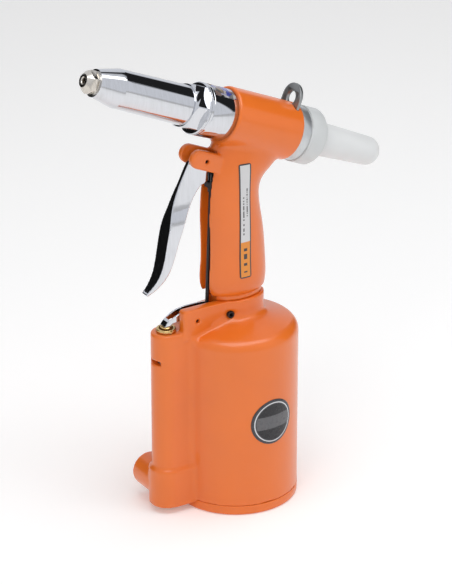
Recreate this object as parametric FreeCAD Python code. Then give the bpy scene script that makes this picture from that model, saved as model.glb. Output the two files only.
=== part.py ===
import FreeCAD, Part
import math
import os

# Air-hydraulic blind-rivet gun, in millimetres.
# Frame: origin at the centre of the base's bottom face, +Z up along the air cylinder, the nose
# points towards -X and rises at HEAD_TILT, the width runs along Y. Pieces of the head are drawn
# along their own +X axis (rearwards) and are then turned onto the head axis.

V = FreeCAD.Vector
os.makedirs("parts", exist_ok=True)

# ---- clearances and common walls -------------------------------------------------------------
FIT_GAP = 0.05        # radial gap of a spigot, bush or pin that is fixed in its hole
RUN_GAP = 0.06        # radial gap of a pin or shaft that turns or slides in its hole
SLIDE_GAP = 0.3       # gap between a piston, lever or bottle and the wall it passes
FACE_GAP = 0.2        # gap between the end faces of pieces that push each other
SEAL_SECTION = 2.0    # section of the O-rings
LABEL_T = 0.35        # thickness of the stuck-on labels

# ---- air cylinder ----------------------------------------------------------------------------
CYL_R = 44.0          # outer radius of the air cylinder
CYL_WALL = 3.5        # its wall
CAP_RIM_H = 7.0       # visible height of the base cap
CAP_SPIGOT_H = 5.0    # height of the cap's spigot inside the cylinder
SHOULDER_Z = 131.2    # height where the straight wall would meet the sloping shoulder
SHOULDER_SLOPE = 17.0 # slope of the shoulder, degrees
SHOULDER_R = 8.0      # rounding of the shoulder
SHOULDER_T = 8.0      # thickness of the cylinder's roof, measured upright
PAD_Z = 153.4         # top of the pad that carries the handle
PAD_X = -1.0          # centre of the oval pad
PAD_A = 22.0          # half length of the pad
PAD_B = 16.0          # half width of the pad
CHEEK_FRONT_X = -CYL_R - 5.4  # front of the tall near cheek that carries the rocker
CHEEK_Y = -12.0       # its outer face
LUG_FRONT_X = -CYL_R + 2.0    # front of the low lug on the rocker's far side
LUG_Y = 8.0           # its outer face
LUG_TOP = 147.6       # its top

# ---- valve tube and air inlet ----------------------------------------------------------------
VALVE_X = -(CYL_R + 12.8)  # axis of the valve
TUBE_R = 10.8         # outer radius of the valve tube
TUBE_TOP = 136.9      # top of the valve tube
VALVE_BORE_R = 6.0    # bore that holds the valve
BLOCK_R = 13.1        # outer radius of the inlet block at the tube's foot
BLOCK_BOTTOM = 4.8    # underside of the inlet block and the tube
BLOCK_TOP = 33.7      # top of the inlet block
INLET_Z = 19.0        # axis of the air inlet
INLET_R = 12.5        # outer radius of the inlet stub
INLET_END_Y = 27.8    # open end of the inlet stub
THREAD_R = 5.72       # core radius of the inlet's quarter-inch pipe thread
THREAD_L = 12.0       # its length
STRAINER_R = 5.1      # strainer behind the thread
STRAINER_T = 1.1
AIRWAY_R = 4.0        # airway from the strainer to the valve
EXHAUST_Z = 115.6     # exhaust slot across the front of the valve tube
EXHAUST_H = 3.0
EXHAUST_HALF_Y = 6.4

# ---- hydraulic ram ---------------------------------------------------------------------------
RAM_R = 6.0           # radius of the ram
AIR_STROKE = 90.0     # stroke of the air piston
PISTON_T = 10.0       # thickness of the air piston
PISTON_REST_Z = 17.0  # its underside at rest
RAM_TOP_Z = 160.0     # top of the ram at rest
GUIDE_R = 11.0        # ram guide in the cylinder's pad
GUIDE_NECK_R = 9.5    # its neck in the handle's foot
OIL_BORE_R = 7.5      # oil bore of the handle

# ---- head ------------------------------------------------------------------------------------
HEAD_Z = 282.3        # height where the head axis crosses the cylinder axis
HEAD_TILT = 23.0      # rise of the head towards the nose, degrees
HEAD_R = 20.3         # outer radius of the head housing
HEAD_BORE_R = 16.0    # bore of the hydraulic chamber
HEAD_FRONT = -11.8    # stations along the head axis, rearwards positive
HEAD_REAR = 44.1
COLLAR_R = 18.0       # chrome collar
COLLAR_FRONT = -32.4
FLANGE_R = 18.3       # flange behind the barrel's hexagon
FLANGE_T = 3.7
HEX_FLATS = 29.6      # barrel hexagon across flats
HEX_TURN = 16.0       # its turn about the head axis where it came to rest, degrees
HEX_L = 10.0
BARREL_R = 14.0       # barrel at the hexagon
BARREL_FRONT_R = 13.5 # barrel where its cone starts
CONE_START = -102.2
CONE_END = -119.8
CONE_END_R = 9.5
BARREL_BORE_R = 11.7
NOSE_END = -128.4     # tip of the nosepiece
NOSE_BORE_R = 2.05    # mandrel hole of the nosepiece
NOSE_THREAD_R = 5.5
NOSE_FLATS = 14.4     # nosepiece across flats
ROD_R = 8.0           # draw rod of the pulling piston
ROD_BORE_R = 3.4      # mandrel channel
CASE_R = 11.3         # jaw case
JAW_CONE_R = 5.2      # small end of the jaw cone
JAW_CONE_ANGLE = 10.6 # half angle of the jaw cone, degrees
JAW_L = 15.0
JAW_FRONT = -107.0
JAW_SECTOR = 100.0    # each jaw's share of the turn, degrees
JAW_BITE_R = 1.6
TAIL_RING_R = 19.3
TAIL_RING_END = HEAD_REAR + 7.7
TAIL_CAP_R = 20.0
TAIL_CAP_END = TAIL_RING_END + 16.8
BOTTLE_R = 12.4       # collector bottle where it leaves the cap
BOTTLE_TIP_R = 10.3
BOTTLE_END = TAIL_CAP_END + 57.9
BOTTLE_WALL = 1.4
HOOK_STATION = HEAD_REAR - 5.7  # front face of the hook plate
HOOK_T = 2.5
HOOK_HOLE_UP = 23.5   # hook eye above the head axis
HOOK_HOLE_R = 4.7
HOOK_R = 10.3

# ---- handle, trigger and rocker --------------------------------------------------------------
EAR_HALF_Y = 9.5     # half width over the trigger ears
EAR_GAP_HALF = 4.9    # half the gap between them
EAR_HALF_H = 6.65
EAR_NOSE = 6.2        # from the pivot to the centre of the ears' round ends
PIN_R = 1.5           # trigger and rocker pins
PIN_RECESS = 2.0      # their ends below the outer faces
LINK_PIN_R = 1.25     # pins of the pull rod
TRIGGER_PIVOT = (-28.5, 259.3)
ROD_TOP_PIN = (-20.0, 246.0)
ROCKER_PIVOT = (VALVE_X + 18.8, 144.0)
ROD_FOOT_PIN = (VALVE_X + 33.0, 146.6)
SHEET = 1.5           # sheet of the trigger and the rocker
TRIGGER_ARM_HALF = 2.5
TRIGGER_FINGER_HALF = 6.5
ROCKER_HALF = 4.4
ROCKER_TIP_HALF = 3.5
ROD_WIRE_R = 1.3
GROOVE_HALF = 6.0     # half width of the rod's groove in the handle
STEM_R = 2.0          # valve stem
STEM_HEAD_R = 4.0

# ---- derived ---------------------------------------------------------------------------------
CYL_BORE_R = CYL_R - CYL_WALL
SLOPE = math.tan(math.radians(SHOULDER_SLOPE))
HEAD = FreeCAD.Placement(V(0, 0, HEAD_Z), FreeCAD.Rotation(V(0, 1, 0), HEAD_TILT))
CONE_SLOPE = math.tan(math.radians(JAW_CONE_ANGLE))


# ---- drawing helpers -------------------------------------------------------------------------
def rod(radius, start, end, axis="z", x=0.0, y=0.0, z=0.0):
    """Round bar along one axis between two stations; x, y, z place its axis."""
    length = end - start
    if axis == "z":
        return Part.makeCylinder(radius, length, V(x, y, start), V(0, 0, 1))
    if axis == "y":
        return Part.makeCylinder(radius, length, V(x, start, z), V(0, 1, 0))
    return Part.makeCylinder(radius, length, V(start, y, z), V(1, 0, 0))


def ring(outer, inner, start, end, axis="z", x=0.0, y=0.0, z=0.0):
    return rod(outer, start, end, axis, x, y, z).cut(rod(inner, start - 1, end + 1, axis, x, y, z))


def block(x0, x1, y0, y1, z0, z1):
    return Part.makeBox(x1 - x0, y1 - y0, z1 - z0, V(x0, y0, z0))


def turned_z(points):
    """Solid turned about Z from (radius, height) points."""
    face = Part.Face(Part.makePolygon([V(r, 0, z) for r, z in points + points[:1]]))
    return face.revolve(V(0, 0, 0), V(0, 0, 1), 360)


def turned_x(points, angle=360.0):
    """Solid turned about X from (station, radius) points."""
    face = Part.Face(Part.makePolygon([V(s, 0, r) for s, r in points + points[:1]]))
    return face.revolve(V(0, 0, 0), V(1, 0, 0), angle)


def hexagon(flats, start, end, axis="x", x=0.0, z=0.0):
    """Hexagonal prism with a corner pointing up."""
    corner = flats / math.sqrt(3)
    turns = [math.radians(60 * i) for i in range(7)]
    if axis == "x":
        points = [V(start, corner * math.sin(a), corner * math.cos(a)) for a in turns]
        return Part.Face(Part.makePolygon(points)).extrude(V(end - start, 0, 0))
    points = [V(x + corner * math.cos(a), corner * math.sin(a), start) for a in turns]
    return Part.Face(Part.makePolygon(points)).extrude(V(0, 0, end - start))


def rounded(shape, radius, wanted):
    """Fillet the edges that wanted(edge) picks."""
    return shape.makeFillet(radius, [e for e in shape.Edges if wanted(e)])


def flat_ring_edge(edge, level, axis=2):
    """True for an edge that lies in the plane at level across the given axis."""
    box = edge.BoundBox
    low = (box.XMin, box.YMin, box.ZMin)[axis]
    high = (box.XMax, box.YMax, box.ZMax)[axis]
    return abs(low - level) < 0.01 and abs(high - level) < 0.01


def spring(wire_r, coil_r, start, end, turns, x=0.0):
    """Closed helical wire spring along Z."""
    height = end - start - 2 * wire_r
    helix = Part.makeHelix(height / turns, height, coil_r)
    circle = Part.Wire(Part.makeCircle(wire_r, V(coil_r, 0, 0), V(0, 1, 0)))
    coil = Part.Wire(helix).makePipeShell([circle], True, True)
    coil.translate(V(x, 0, start + wire_r))
    return coil


def along_head(shape):
    """Turn a shape drawn along +X onto the head axis."""
    placed = shape.copy()
    placed.Placement = HEAD.multiply(placed.Placement)
    return placed


def z_to_x(shape):
    """Turn a shape drawn along +Z so that it runs along +X."""
    placed = shape.copy()
    placed.Placement = FreeCAD.Placement(V(0, 0, 0), FreeCAD.Rotation(V(0, 1, 0),
                                                            90)).multiply(placed.Placement)
    return placed


def head_point(station, up):
    """Place in the XZ plane of a point on the head: station rearwards, up square to the axis."""
    return HEAD.multVec(V(station, 0, up))


def save(name, *solids):
    """Write one node after a check of every solid."""
    for number, solid in enumerate(solids):
        if not solid.isValid() or solid.Volume <= 0 or len(solid.Solids) != 1:
            print("CHECK", name, number, "valid", solid.isValid(), "solids", len(solid.Solids))
    shape = solids[0] if len(solids) == 1 else Part.makeCompound(list(solids))
    shape.exportStep("parts/" + name + ".step")


# ---- base cap --------------------------------------------------------------------------------
CAP_TOP = CAP_RIM_H + CAP_SPIGOT_H
CAP_GROOVE_Z = CAP_RIM_H + 1.2


def base_cap():
    cap = rounded(rod(CYL_R, 0, CAP_RIM_H), 1.4, lambda e: flat_ring_edge(e, 0))
    cap = cap.fuse(rod(CYL_BORE_R - FIT_GAP, CAP_RIM_H, CAP_TOP))
    cap = cap.cut(ring(CYL_R, CYL_BORE_R - SEAL_SECTION, CAP_GROOVE_Z, CAP_GROOVE_Z + SEAL_SECTION))
    return cap.cut(rod(12.0, CAP_RIM_H - 1, CAP_TOP + 1)).removeSplitter()


def cap_oring():
    z = CAP_GROOVE_Z + FIT_GAP
    return ring(CYL_BORE_R - FIT_GAP, CYL_BORE_R - SEAL_SECTION + FIT_GAP, z, z + SEAL_SECTION - 2 * FIT_GAP)


save("base_cap", base_cap())
save("base_cap_oring", cap_oring())


# ---- air cylinder casting --------------------------------------------------------------------
def shoulder_z(radius, drop=0.0):
    return SHOULDER_Z - drop + (CYL_R - radius) * SLOPE


def valley(half_width, fillet, bottom, top):
    """Fills of the two valleys where flat sides at +-half_width meet the round cylinder."""
    cy = half_width + fillet
    cx = -math.sqrt((CYL_R + fillet) ** 2 - cy ** 2)
    share = CYL_R / (CYL_R + fillet)
    on_wall = V(cx * share, -cy * share, bottom)
    on_flat = V(cx, -half_width, bottom)
    middle = V(cx, -cy, bottom) + (V(CYL_R * -0.5, 0, 0) - V(cx, -cy, 0)).normalize() * fillet
    inner = V(on_wall.x + fillet * 0.6, -half_width + 0.5, bottom)
    arc = Part.Arc(on_wall, middle, on_flat).toShape()
    sides = [arc, Part.makeLine(on_flat, V(on_flat.x, inner.y, bottom))]
    sides += [Part.makeLine(V(on_flat.x, inner.y, bottom), inner), Part.makeLine(inner, on_wall)]
    near = Part.Face(Part.Wire(sides)).extrude(V(0, 0, top - bottom))
    return near.fuse(near.mirror(V(0, 0, 0), V(0, 1, 0)))


def flat_sided(radius, bottom, top):
    """Half-round column on the valve axis with flat sides back into the cylinder."""
    inside = -CYL_R + (TUBE_TOP - SHOULDER_Z) / SLOPE
    return rod(radius, bottom, top, x=VALVE_X).fuse(block(VALVE_X, inside, -radius, radius, bottom, top))


def oval(a, b, x, z, tilt=0.0):
    """Oval section wire centred at (x, z), leaning by tilt about Y."""
    wire = Part.Wire(Part.Ellipse(V(0, 0, 0), a, b).toShape())
    wire.Placement = FreeCAD.Placement(V(x, 0, z), FreeCAD.Rotation(V(0, 1, 0), tilt))
    return wire


LOCK_SCREW_X = -12.4
LOCK_SCREW_Z = 143.6
LOCK_SCREW_R = 2.5
LOCK_SCREW_Y = -14.0
ROCKER_SLOT_END = VALVE_X + 40.3
ROCKER_SLOT_HALF = ROCKER_HALF + 0.6
GUIDE_FLOOR = 141.0


def air_cylinder():
    roof = shoulder_z(0)
    body = turned_z([(0, CAP_RIM_H), (CYL_R, CAP_RIM_H), (CYL_R, SHOULDER_Z), (0, roof)])
    body = rounded(body, SHOULDER_R, lambda e: flat_ring_edge(e, SHOULDER_Z))
    pad = Part.Face(oval(PAD_A, PAD_B, PAD_X, SHOULDER_Z - 4)).extrude(V(0, 0, PAD_Z - SHOULDER_Z + 4))
    cheek = block(CHEEK_FRONT_X, PAD_X, CHEEK_Y, 0, SHOULDER_Z, PAD_Z)
    cheek = rounded(cheek, 2.5, lambda e: flat_ring_edge(e, CHEEK_FRONT_X, 0) and e.BoundBox.ZMax > PAD_Z - 1)
    lug = block(LUG_FRONT_X, PAD_X, 0, LUG_Y, SHOULDER_Z, LUG_TOP)
    lug = rounded(lug, 2.0, lambda e: flat_ring_edge(e, LUG_FRONT_X, 0) and e.BoundBox.ZMax > LUG_TOP - 1)
    tube = rounded(flat_sided(TUBE_R, BLOCK_BOTTOM, TUBE_TOP).removeSplitter(), 1.6,
                   lambda e: flat_ring_edge(e, TUBE_TOP) and e.BoundBox.XMin < VALVE_X + 1)
    foot = rounded(flat_sided(BLOCK_R, BLOCK_BOTTOM, BLOCK_TOP).removeSplitter(), 1.6,
                   lambda e: flat_ring_edge(e, BLOCK_TOP) and e.BoundBox.XMin < VALVE_X + 1)
    stub = rounded(rod(INLET_R, 0, INLET_END_Y, "y", x=VALVE_X, z=INLET_Z), 1.2,
                   lambda e: flat_ring_edge(e, INLET_END_Y, 1))
    for piece in (tube, foot, valley(TUBE_R, 6.0, BLOCK_TOP - 1, TUBE_TOP - 5),
                  valley(BLOCK_R, 4.5, BLOCK_BOTTOM, BLOCK_TOP), stub, pad, cheek, lug):
        body = body.fuse(piece)
    hollow = turned_z([(0, CAP_RIM_H - 1), (CYL_BORE_R, CAP_RIM_H - 1),
                       (CYL_BORE_R, shoulder_z(CYL_BORE_R, SHOULDER_T)),
                       (GUIDE_R + 2, shoulder_z(GUIDE_R + 2, SHOULDER_T)),
                       (0, shoulder_z(GUIDE_R + 2, SHOULDER_T))])
    cuts = [hollow, rod(CYL_R + FIT_GAP, 0, CAP_RIM_H)]
    cuts.append(rod(GUIDE_R + FIT_GAP, GUIDE_FLOOR, PAD_Z + 1))
    cuts.append(rod(RAM_R + 1.0, GUIDE_FLOOR - 12, PAD_Z + 1))
    cuts.append(rod(VALVE_BORE_R, BLOCK_BOTTOM - 1, TUBE_TOP + 1, x=VALVE_X))
    cuts.append(rod(THREAD_R, INLET_END_Y - THREAD_L, INLET_END_Y + 1, "y", x=VALVE_X, z=INLET_Z))
    strainer_seat = INLET_END_Y - THREAD_L - STRAINER_T - 2 * FIT_GAP
    cuts.append(rod(STRAINER_R + FIT_GAP, strainer_seat, INLET_END_Y, "y", x=VALVE_X, z=INLET_Z))
    cuts.append(rod(AIRWAY_R, 0, INLET_END_Y, "y", x=VALVE_X, z=INLET_Z))
    cuts.append(rod(2.2, VALVE_X, -CYL_BORE_R + 2, "x", z=CAP_TOP + 2.6))
    slot = block(VALVE_X - TUBE_R - 1, VALVE_X, -EXHAUST_HALF_Y + EXHAUST_H / 2,
                 EXHAUST_HALF_Y - EXHAUST_H / 2,
                 EXHAUST_Z - EXHAUST_H / 2, EXHAUST_Z + EXHAUST_H / 2)
    cuts.append(slot)
    for side in (-1, 1):
        y = side * (EXHAUST_HALF_Y - EXHAUST_H / 2)
        cuts.append(rod(EXHAUST_H / 2, VALVE_X - TUBE_R - 1, VALVE_X, "x", y=y, z=EXHAUST_Z))
    cuts.append(block(CHEEK_FRONT_X - 3, ROCKER_SLOT_END, -ROCKER_SLOT_HALF, ROCKER_SLOT_HALF, TUBE_TOP,
                      PAD_Z + 1))
    cuts.append(rod(PIN_R + FIT_GAP, CHEEK_Y - 1, LUG_Y + 1, "y", x=ROCKER_PIVOT[0], z=ROCKER_PIVOT[1]))
    cuts.append(rod(LOCK_SCREW_R + FIT_GAP, CHEEK_Y - 8, -GUIDE_R + 1, "y", x=LOCK_SCREW_X, z=LOCK_SCREW_Z))
    for cut in cuts:
        body = body.cut(cut)
    return body


save("air_cylinder", air_cylinder())


def lock_screw():
    screw = rod(LOCK_SCREW_R, LOCK_SCREW_Y, -GUIDE_R * 0.95, "y", x=LOCK_SCREW_X, z=LOCK_SCREW_Z)
    core = rod(GUIDE_R + 2 * FIT_GAP, LOCK_SCREW_Z - 5, LOCK_SCREW_Z + 5)
    socket = hexagon(2.6, 0, 3.0).copy()
    socket.Placement = FreeCAD.Placement(V(LOCK_SCREW_X, LOCK_SCREW_Y - 0.1, LOCK_SCREW_Z),
                                         FreeCAD.Rotation(V(0, 0, 1), 90))
    return screw.cut(core).cut(socket)


save("handle_lock_screw", lock_screw())

# ---- air piston and ram ----------------------------------------------------------------------
PISTON_R = CYL_BORE_R - SLIDE_GAP
PISTON_TOP = PISTON_REST_Z + PISTON_T
SEAL_Z = PISTON_REST_Z + PISTON_T / 2 - SEAL_SECTION
RAM_STUD_R = 4.0
GUIDE_TOP = PAD_Z + 10.0
RAM_SEAL_Z = PAD_Z + 2.0
BUMPER_H = 6.0
BUMPER_TOP = shoulder_z(GUIDE_R + 2, SHOULDER_T) - FIT_GAP
HUB_TOP = BUMPER_TOP - BUMPER_H - FACE_GAP - AIR_STROKE
HUB_R = GUIDE_R + 1.5


def air_piston():
    """Disc with a thin web and a hub that meets the bumper at the end of the stroke."""
    web = PISTON_TOP - 3
    disc = turned_z([(RAM_STUD_R + FIT_GAP, PISTON_REST_Z), (PISTON_R, PISTON_REST_Z), (PISTON_R, PISTON_TOP),
                     (PISTON_R - 6, PISTON_TOP), (PISTON_R - 9, web), (HUB_R + 3, web), (HUB_R, web + 3),
                     (HUB_R, HUB_TOP), (RAM_R + FIT_GAP, HUB_TOP), (RAM_R + FIT_GAP, PISTON_TOP),
                     (RAM_STUD_R + FIT_GAP, PISTON_TOP)])
    groove = ring(PISTON_R + 1, PISTON_R - 3.5, SEAL_Z, SEAL_Z + 2 * SEAL_SECTION)
    return disc.cut(groove)


def piston_nut():
    nut = hexagon(14.0, PISTON_REST_Z - 4.2, PISTON_REST_Z - FIT_GAP, "z")
    return nut.cut(rod(RAM_STUD_R + FIT_GAP, 0, PISTON_REST_Z + 1))


def ram():
    foot = PISTON_REST_Z - 4.6
    return turned_z([(0, foot), (RAM_STUD_R, foot), (RAM_STUD_R, PISTON_TOP + FIT_GAP),
                     (RAM_R, PISTON_TOP + FIT_GAP), (RAM_R, RAM_TOP_Z - 1), (RAM_R - 1, RAM_TOP_Z), (0,
                                                            RAM_TOP_Z)])


def ram_guide():
    guide = turned_z([(RAM_R + RUN_GAP, GUIDE_FLOOR + FIT_GAP), (GUIDE_R, GUIDE_FLOOR + FIT_GAP),
                      (GUIDE_R, PAD_Z - FIT_GAP), (GUIDE_NECK_R, PAD_Z - FIT_GAP), (GUIDE_NECK_R, GUIDE_TOP),
                      (RAM_R + RUN_GAP, GUIDE_TOP)])
    return guide.cut(ring(GUIDE_NECK_R - 1.2, RAM_R - 1, RAM_SEAL_Z, RAM_SEAL_Z + 4))


def bumper():
    return ring(HUB_R, RAM_R + 1.2, BUMPER_TOP - BUMPER_H, BUMPER_TOP)


save("air_piston", air_piston())
save("air_piston_seal", ring(CYL_BORE_R - 0.15, PISTON_R - 3.5 + FIT_GAP, SEAL_Z + FIT_GAP,
                             SEAL_Z + 2 * SEAL_SECTION - FIT_GAP))
save("air_piston_nut", piston_nut())
save("hydraulic_ram", ram())
save("ram_guide", ram_guide())
save("ram_seal", ring(GUIDE_NECK_R - 1.2 - FIT_GAP, RAM_R + 0.15, RAM_SEAL_Z + FIT_GAP,
                      RAM_SEAL_Z + 4 - FIT_GAP))
save("stroke_bumper", bumper())

# ---- handle and head casting -----------------------------------------------------------------
# Grip sections: height, centre, half depth, half width, lean.
GRIP = [(PAD_Z + 4.6, -2.2, 23.4, 15.0, 0), (PAD_Z + 9, -2.5, 24.6, 16.2, 0), (178, -2.5, 24.6, 16.2, 0),
        (205, -3.7, 23.3, 16.0, 0), (227, -5.1, 21.6, 15.6, 0), (243, -2.0, 22.6, 15.4, 10),
        (257, 6.3, 26.6, 15.0, 20), (268, 9.0, 25.0, 12.5, HEAD_TILT)]
FOOT_X = -1.5
FOOT_A = 20.8
FOOT_B = 13.8
OIL_BORE_TOP = RAM_TOP_Z + AIR_STROKE + 3
GROOVE_END_X = -16.3
POCKET_END_X = -11.8
POCKET_TOP = ROD_TOP_PIN[1] + 7.0


def grip(extra=0.0):
    wires = [oval(a + extra, b + extra, x, z, tilt) for z, x, a, b, tilt in GRIP]
    return Part.makeLoft(wires, True, False)


def ear_shape(half_height, front, rear, y0, y1):
    """Round-ended bar along the head's lean through the trigger pivot."""
    bar = block(-front, rear, y0, y1, -half_height, half_height)
    bar = bar.fuse(rod(half_height, y0, y1, "y", x=-front))
    bar = bar.removeSplitter()
    bar.Placement = FreeCAD.Placement(V(TRIGGER_PIVOT[0], 0, TRIGGER_PIVOT[1]),
                                      FreeCAD.Rotation(V(0, 1, 0), HEAD_TILT))
    return bar


def ears():
    ear = ear_shape(EAR_HALF_H, EAR_NOSE, 26.0, -EAR_HALF_Y, -EAR_GAP_HALF)
    near = [e for e in ear.Edges if flat_ring_edge(e, -EAR_HALF_Y, 1) and e.BoundBox.XMax < 0]
    ear = ear.makeFillet(1.6, near)
    return ear.fuse(ear.mirror(V(0, 0, 0), V(0, 1, 0)))


OIL_SCREW_STATION = 14.0
OIL_SEAT_Y = 18.4


def head_handle():
    barrel = rounded(rod(HEAD_R, HEAD_FRONT, HEAD_REAR, "x"), 1.5, lambda e: flat_ring_edge(e, HEAD_FRONT, 0))
    body = grip().fuse(along_head(barrel))
    body = body.fuse(Part.Face(oval(FOOT_A, FOOT_B, FOOT_X, PAD_Z)).extrude(V(0, 0, 6)))
    body = body.fuse(ears())
    hook_slot = block(HOOK_STATION - FIT_GAP, HOOK_STATION + HOOK_T + FIT_GAP, -HOOK_R - FIT_GAP,
                      HOOK_R + FIT_GAP,
                      0, HEAD_R + 2)
    cuts = [along_head(rod(HEAD_BORE_R, HEAD_FRONT - 1, HEAD_REAR + 1, "x")), along_head(hook_slot)]
    cuts.append(along_head(rod(3.0, 10, HEAD_R + 1, "y", x=OIL_SCREW_STATION)))
    cuts.append(along_head(rod(6.2, OIL_SEAT_Y, HEAD_R + 3, "y", x=OIL_SCREW_STATION)))
    cuts.append(rod(OIL_BORE_R, PAD_Z - 1, OIL_BORE_TOP))
    cuts.append(rod(GUIDE_NECK_R + FIT_GAP, PAD_Z - 1, GUIDE_TOP + 0.5))
    outlet = head_point(HEAD_FRONT + 5.2, -HEAD_BORE_R + 1)
    start = V(0, 0, OIL_BORE_TOP - 4)
    cuts.append(Part.makeCylinder(2.3, (outlet - start).Length, start, outlet - start))
    cuts.append(ear_shape(EAR_HALF_H + 0.6, EAR_NOSE + 2, 14.0, -EAR_GAP_HALF, EAR_GAP_HALF))
    cuts.append(block(-45, GROOVE_END_X, -GROOVE_HALF, GROOVE_HALF, PAD_Z - 1, ROD_TOP_PIN[1]))
    cuts.append(block(-45, POCKET_END_X, -GROOVE_HALF, GROOVE_HALF, ROD_TOP_PIN[1] - 18, POCKET_TOP))
    cuts.append(rod(PIN_R + FIT_GAP, -EAR_HALF_Y - 1, EAR_HALF_Y + 1, "y", x=TRIGGER_PIVOT[0],
                    z=TRIGGER_PIVOT[1]))
    for cut in cuts:
        body = body.cut(cut)
    return body.removeSplitter()


save("head_handle", head_handle())


def oil_screw():
    """Bleed screw with a hexagon socket in the far side of the head."""
    shank = rod(3.0 - FIT_GAP, 16.6, OIL_SEAT_Y + 1.0, "y", x=OIL_SCREW_STATION)
    head = rod(5.0, OIL_SEAT_Y + 1.0, OIL_SEAT_Y + 4.0, "y", x=OIL_SCREW_STATION)
    socket = Part.Face(Part.makePolygon([V(OIL_SCREW_STATION + 2.3 * math.cos(math.radians(60 * i)),
                                           OIL_SEAT_Y + 1.8,
                                           2.3 * math.sin(math.radians(60 * i))) for i in range(7)]))
    return along_head(shank.fuse(head).cut(socket.extrude(V(0, 5, 0))).removeSplitter())


save("oil_screw", oil_screw())
save("oil_screw_washer", along_head(ring(5.6, 3.0, OIL_SEAT_Y, OIL_SEAT_Y + 1.0 - FIT_GAP / 2, "y",
                                         x=OIL_SCREW_STATION)))

# ---- front end: collar, barrel, nosepiece ----------------------------------------------------
COUNTERBORE_END = COLLAR_FRONT + 12.4
SPIGOT_END = HEAD_FRONT + 4.3
BARREL_SPIGOT_R = 12.9
GLAND_GROOVE = SPIGOT_END - 7.0


def front_collar():
    """Chrome collar: gland of the draw rod and seat of the barrel."""
    bore = ROD_R + RUN_GAP
    shape = turned_x([(COLLAR_FRONT, BARREL_SPIGOT_R + FIT_GAP), (COLLAR_FRONT, COLLAR_R - 0.6),
                      (COLLAR_FRONT + 0.6, COLLAR_R), (HEAD_FRONT - FIT_GAP, COLLAR_R),
                      (HEAD_FRONT - FIT_GAP, HEAD_BORE_R - FIT_GAP), (SPIGOT_END, HEAD_BORE_R - FIT_GAP),
                      (SPIGOT_END, bore), (COUNTERBORE_END, bore), (COUNTERBORE_END,
                                                            BARREL_SPIGOT_R + FIT_GAP)])
    shape = shape.cut(ring(HEAD_BORE_R, HEAD_BORE_R - 1.6, SPIGOT_END - 3, SPIGOT_END - 1, "x"))
    return along_head(shape.cut(ring(ROD_R + 2.6, ROD_R - 1, GLAND_GROOVE, GLAND_GROOVE + 3, "x")))


def nose_barrel():
    """Cone, barrel, hexagon and flange in one piece, with the spigot that enters the collar."""
    flange_back = COLLAR_FRONT - FIT_GAP
    flange_front = COLLAR_FRONT - FLANGE_T
    hex_front = flange_front - HEX_L
    outer = turned_x([(CONE_END, 0), (CONE_END, CONE_END_R), (CONE_START, BARREL_FRONT_R),
                      (hex_front, BARREL_R),
                      (flange_front, BARREL_R), (flange_front, FLANGE_R - 0.7), (flange_front + 0.7,
                                                            FLANGE_R),
                      (flange_front + 1.4, FLANGE_R), (flange_front + 1.7, FLANGE_R - 0.5),
                      (flange_front + 2.0, FLANGE_R), (flange_back, FLANGE_R), (flange_back, BARREL_SPIGOT_R),
                      (COUNTERBORE_END - FACE_GAP, BARREL_SPIGOT_R), (COUNTERBORE_END - FACE_GAP, 0)])
    corner = HEX_FLATS / math.sqrt(3)
    chamfer = turned_x([(hex_front, 0), (hex_front, HEX_FLATS / 2), (hex_front + 1.6, corner - 0.2),
                        (flange_front + 0.1, corner - 0.2), (flange_front + 0.1, 0)])
    hexagon_bar = hexagon(HEX_FLATS, hex_front, flange_front + 0.1)
    hexagon_bar.rotate(V(0, 0, 0), V(1, 0, 0), HEX_TURN)
    outer = outer.fuse(hexagon_bar.common(chamfer))
    inner = turned_x([(CONE_END - 1, 0), (CONE_END - 1, NOSE_THREAD_R + FIT_GAP),
                      (JAW_FRONT - 2.4, NOSE_THREAD_R + FIT_GAP),
                      (JAW_FRONT + 1.5, BARREL_BORE_R), (COUNTERBORE_END + 1,
                                                         BARREL_BORE_R), (COUNTERBORE_END + 1, 0)])
    return along_head(outer.cut(inner).removeSplitter())


def nosepiece():
    """Hexagonal anvil that the rivet's flange rests on; its rear nose holds the jaws open."""
    seat = CONE_END - 0.8
    corner = NOSE_FLATS / math.sqrt(3)
    cone = turned_x([(NOSE_END, 0), (NOSE_END, 4.6), (NOSE_END + 0.5, 5.1), (seat - 4.2, corner),
                     (seat, corner), (seat, 0)])
    head = hexagon(NOSE_FLATS, NOSE_END - 1, seat).common(cone)
    shank = turned_x([(seat, 0), (seat, CONE_END_R - 1.3), (CONE_END - FIT_GAP, CONE_END_R - 1.3),
                      (CONE_END - FIT_GAP, NOSE_THREAD_R), (JAW_FRONT - 4.0, NOSE_THREAD_R),
                      (JAW_FRONT - 2.6, JAW_CONE_R - 1.2), (JAW_FRONT - FACE_GAP, JAW_CONE_R - 1.7),
                      (JAW_FRONT - FACE_GAP, 0)])
    bore = turned_x([(NOSE_END - 1, 0), (NOSE_END - 1, NOSE_BORE_R + 1.6), (NOSE_END + 0.6, NOSE_BORE_R),
                     (JAW_FRONT + 1, NOSE_BORE_R), (JAW_FRONT + 1, 0)])
    return along_head(head.fuse(shank).cut(bore).removeSplitter())


save("front_collar", front_collar())
save("collar_oring", along_head(ring(HEAD_BORE_R - FIT_GAP, HEAD_BORE_R - 1.6 + FIT_GAP / 2,
                                     SPIGOT_END - 3 + FIT_GAP,
                                     SPIGOT_END - 1 - FIT_GAP, "x")))
save("draw_rod_seal", along_head(ring(ROD_R + 2.6 - FIT_GAP, ROD_R + 0.15, GLAND_GROOVE + FIT_GAP,
                                      GLAND_GROOVE + 3 - FIT_GAP, "x")))
save("nose_barrel", nose_barrel())
save("nosepiece", nosepiece())

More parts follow.
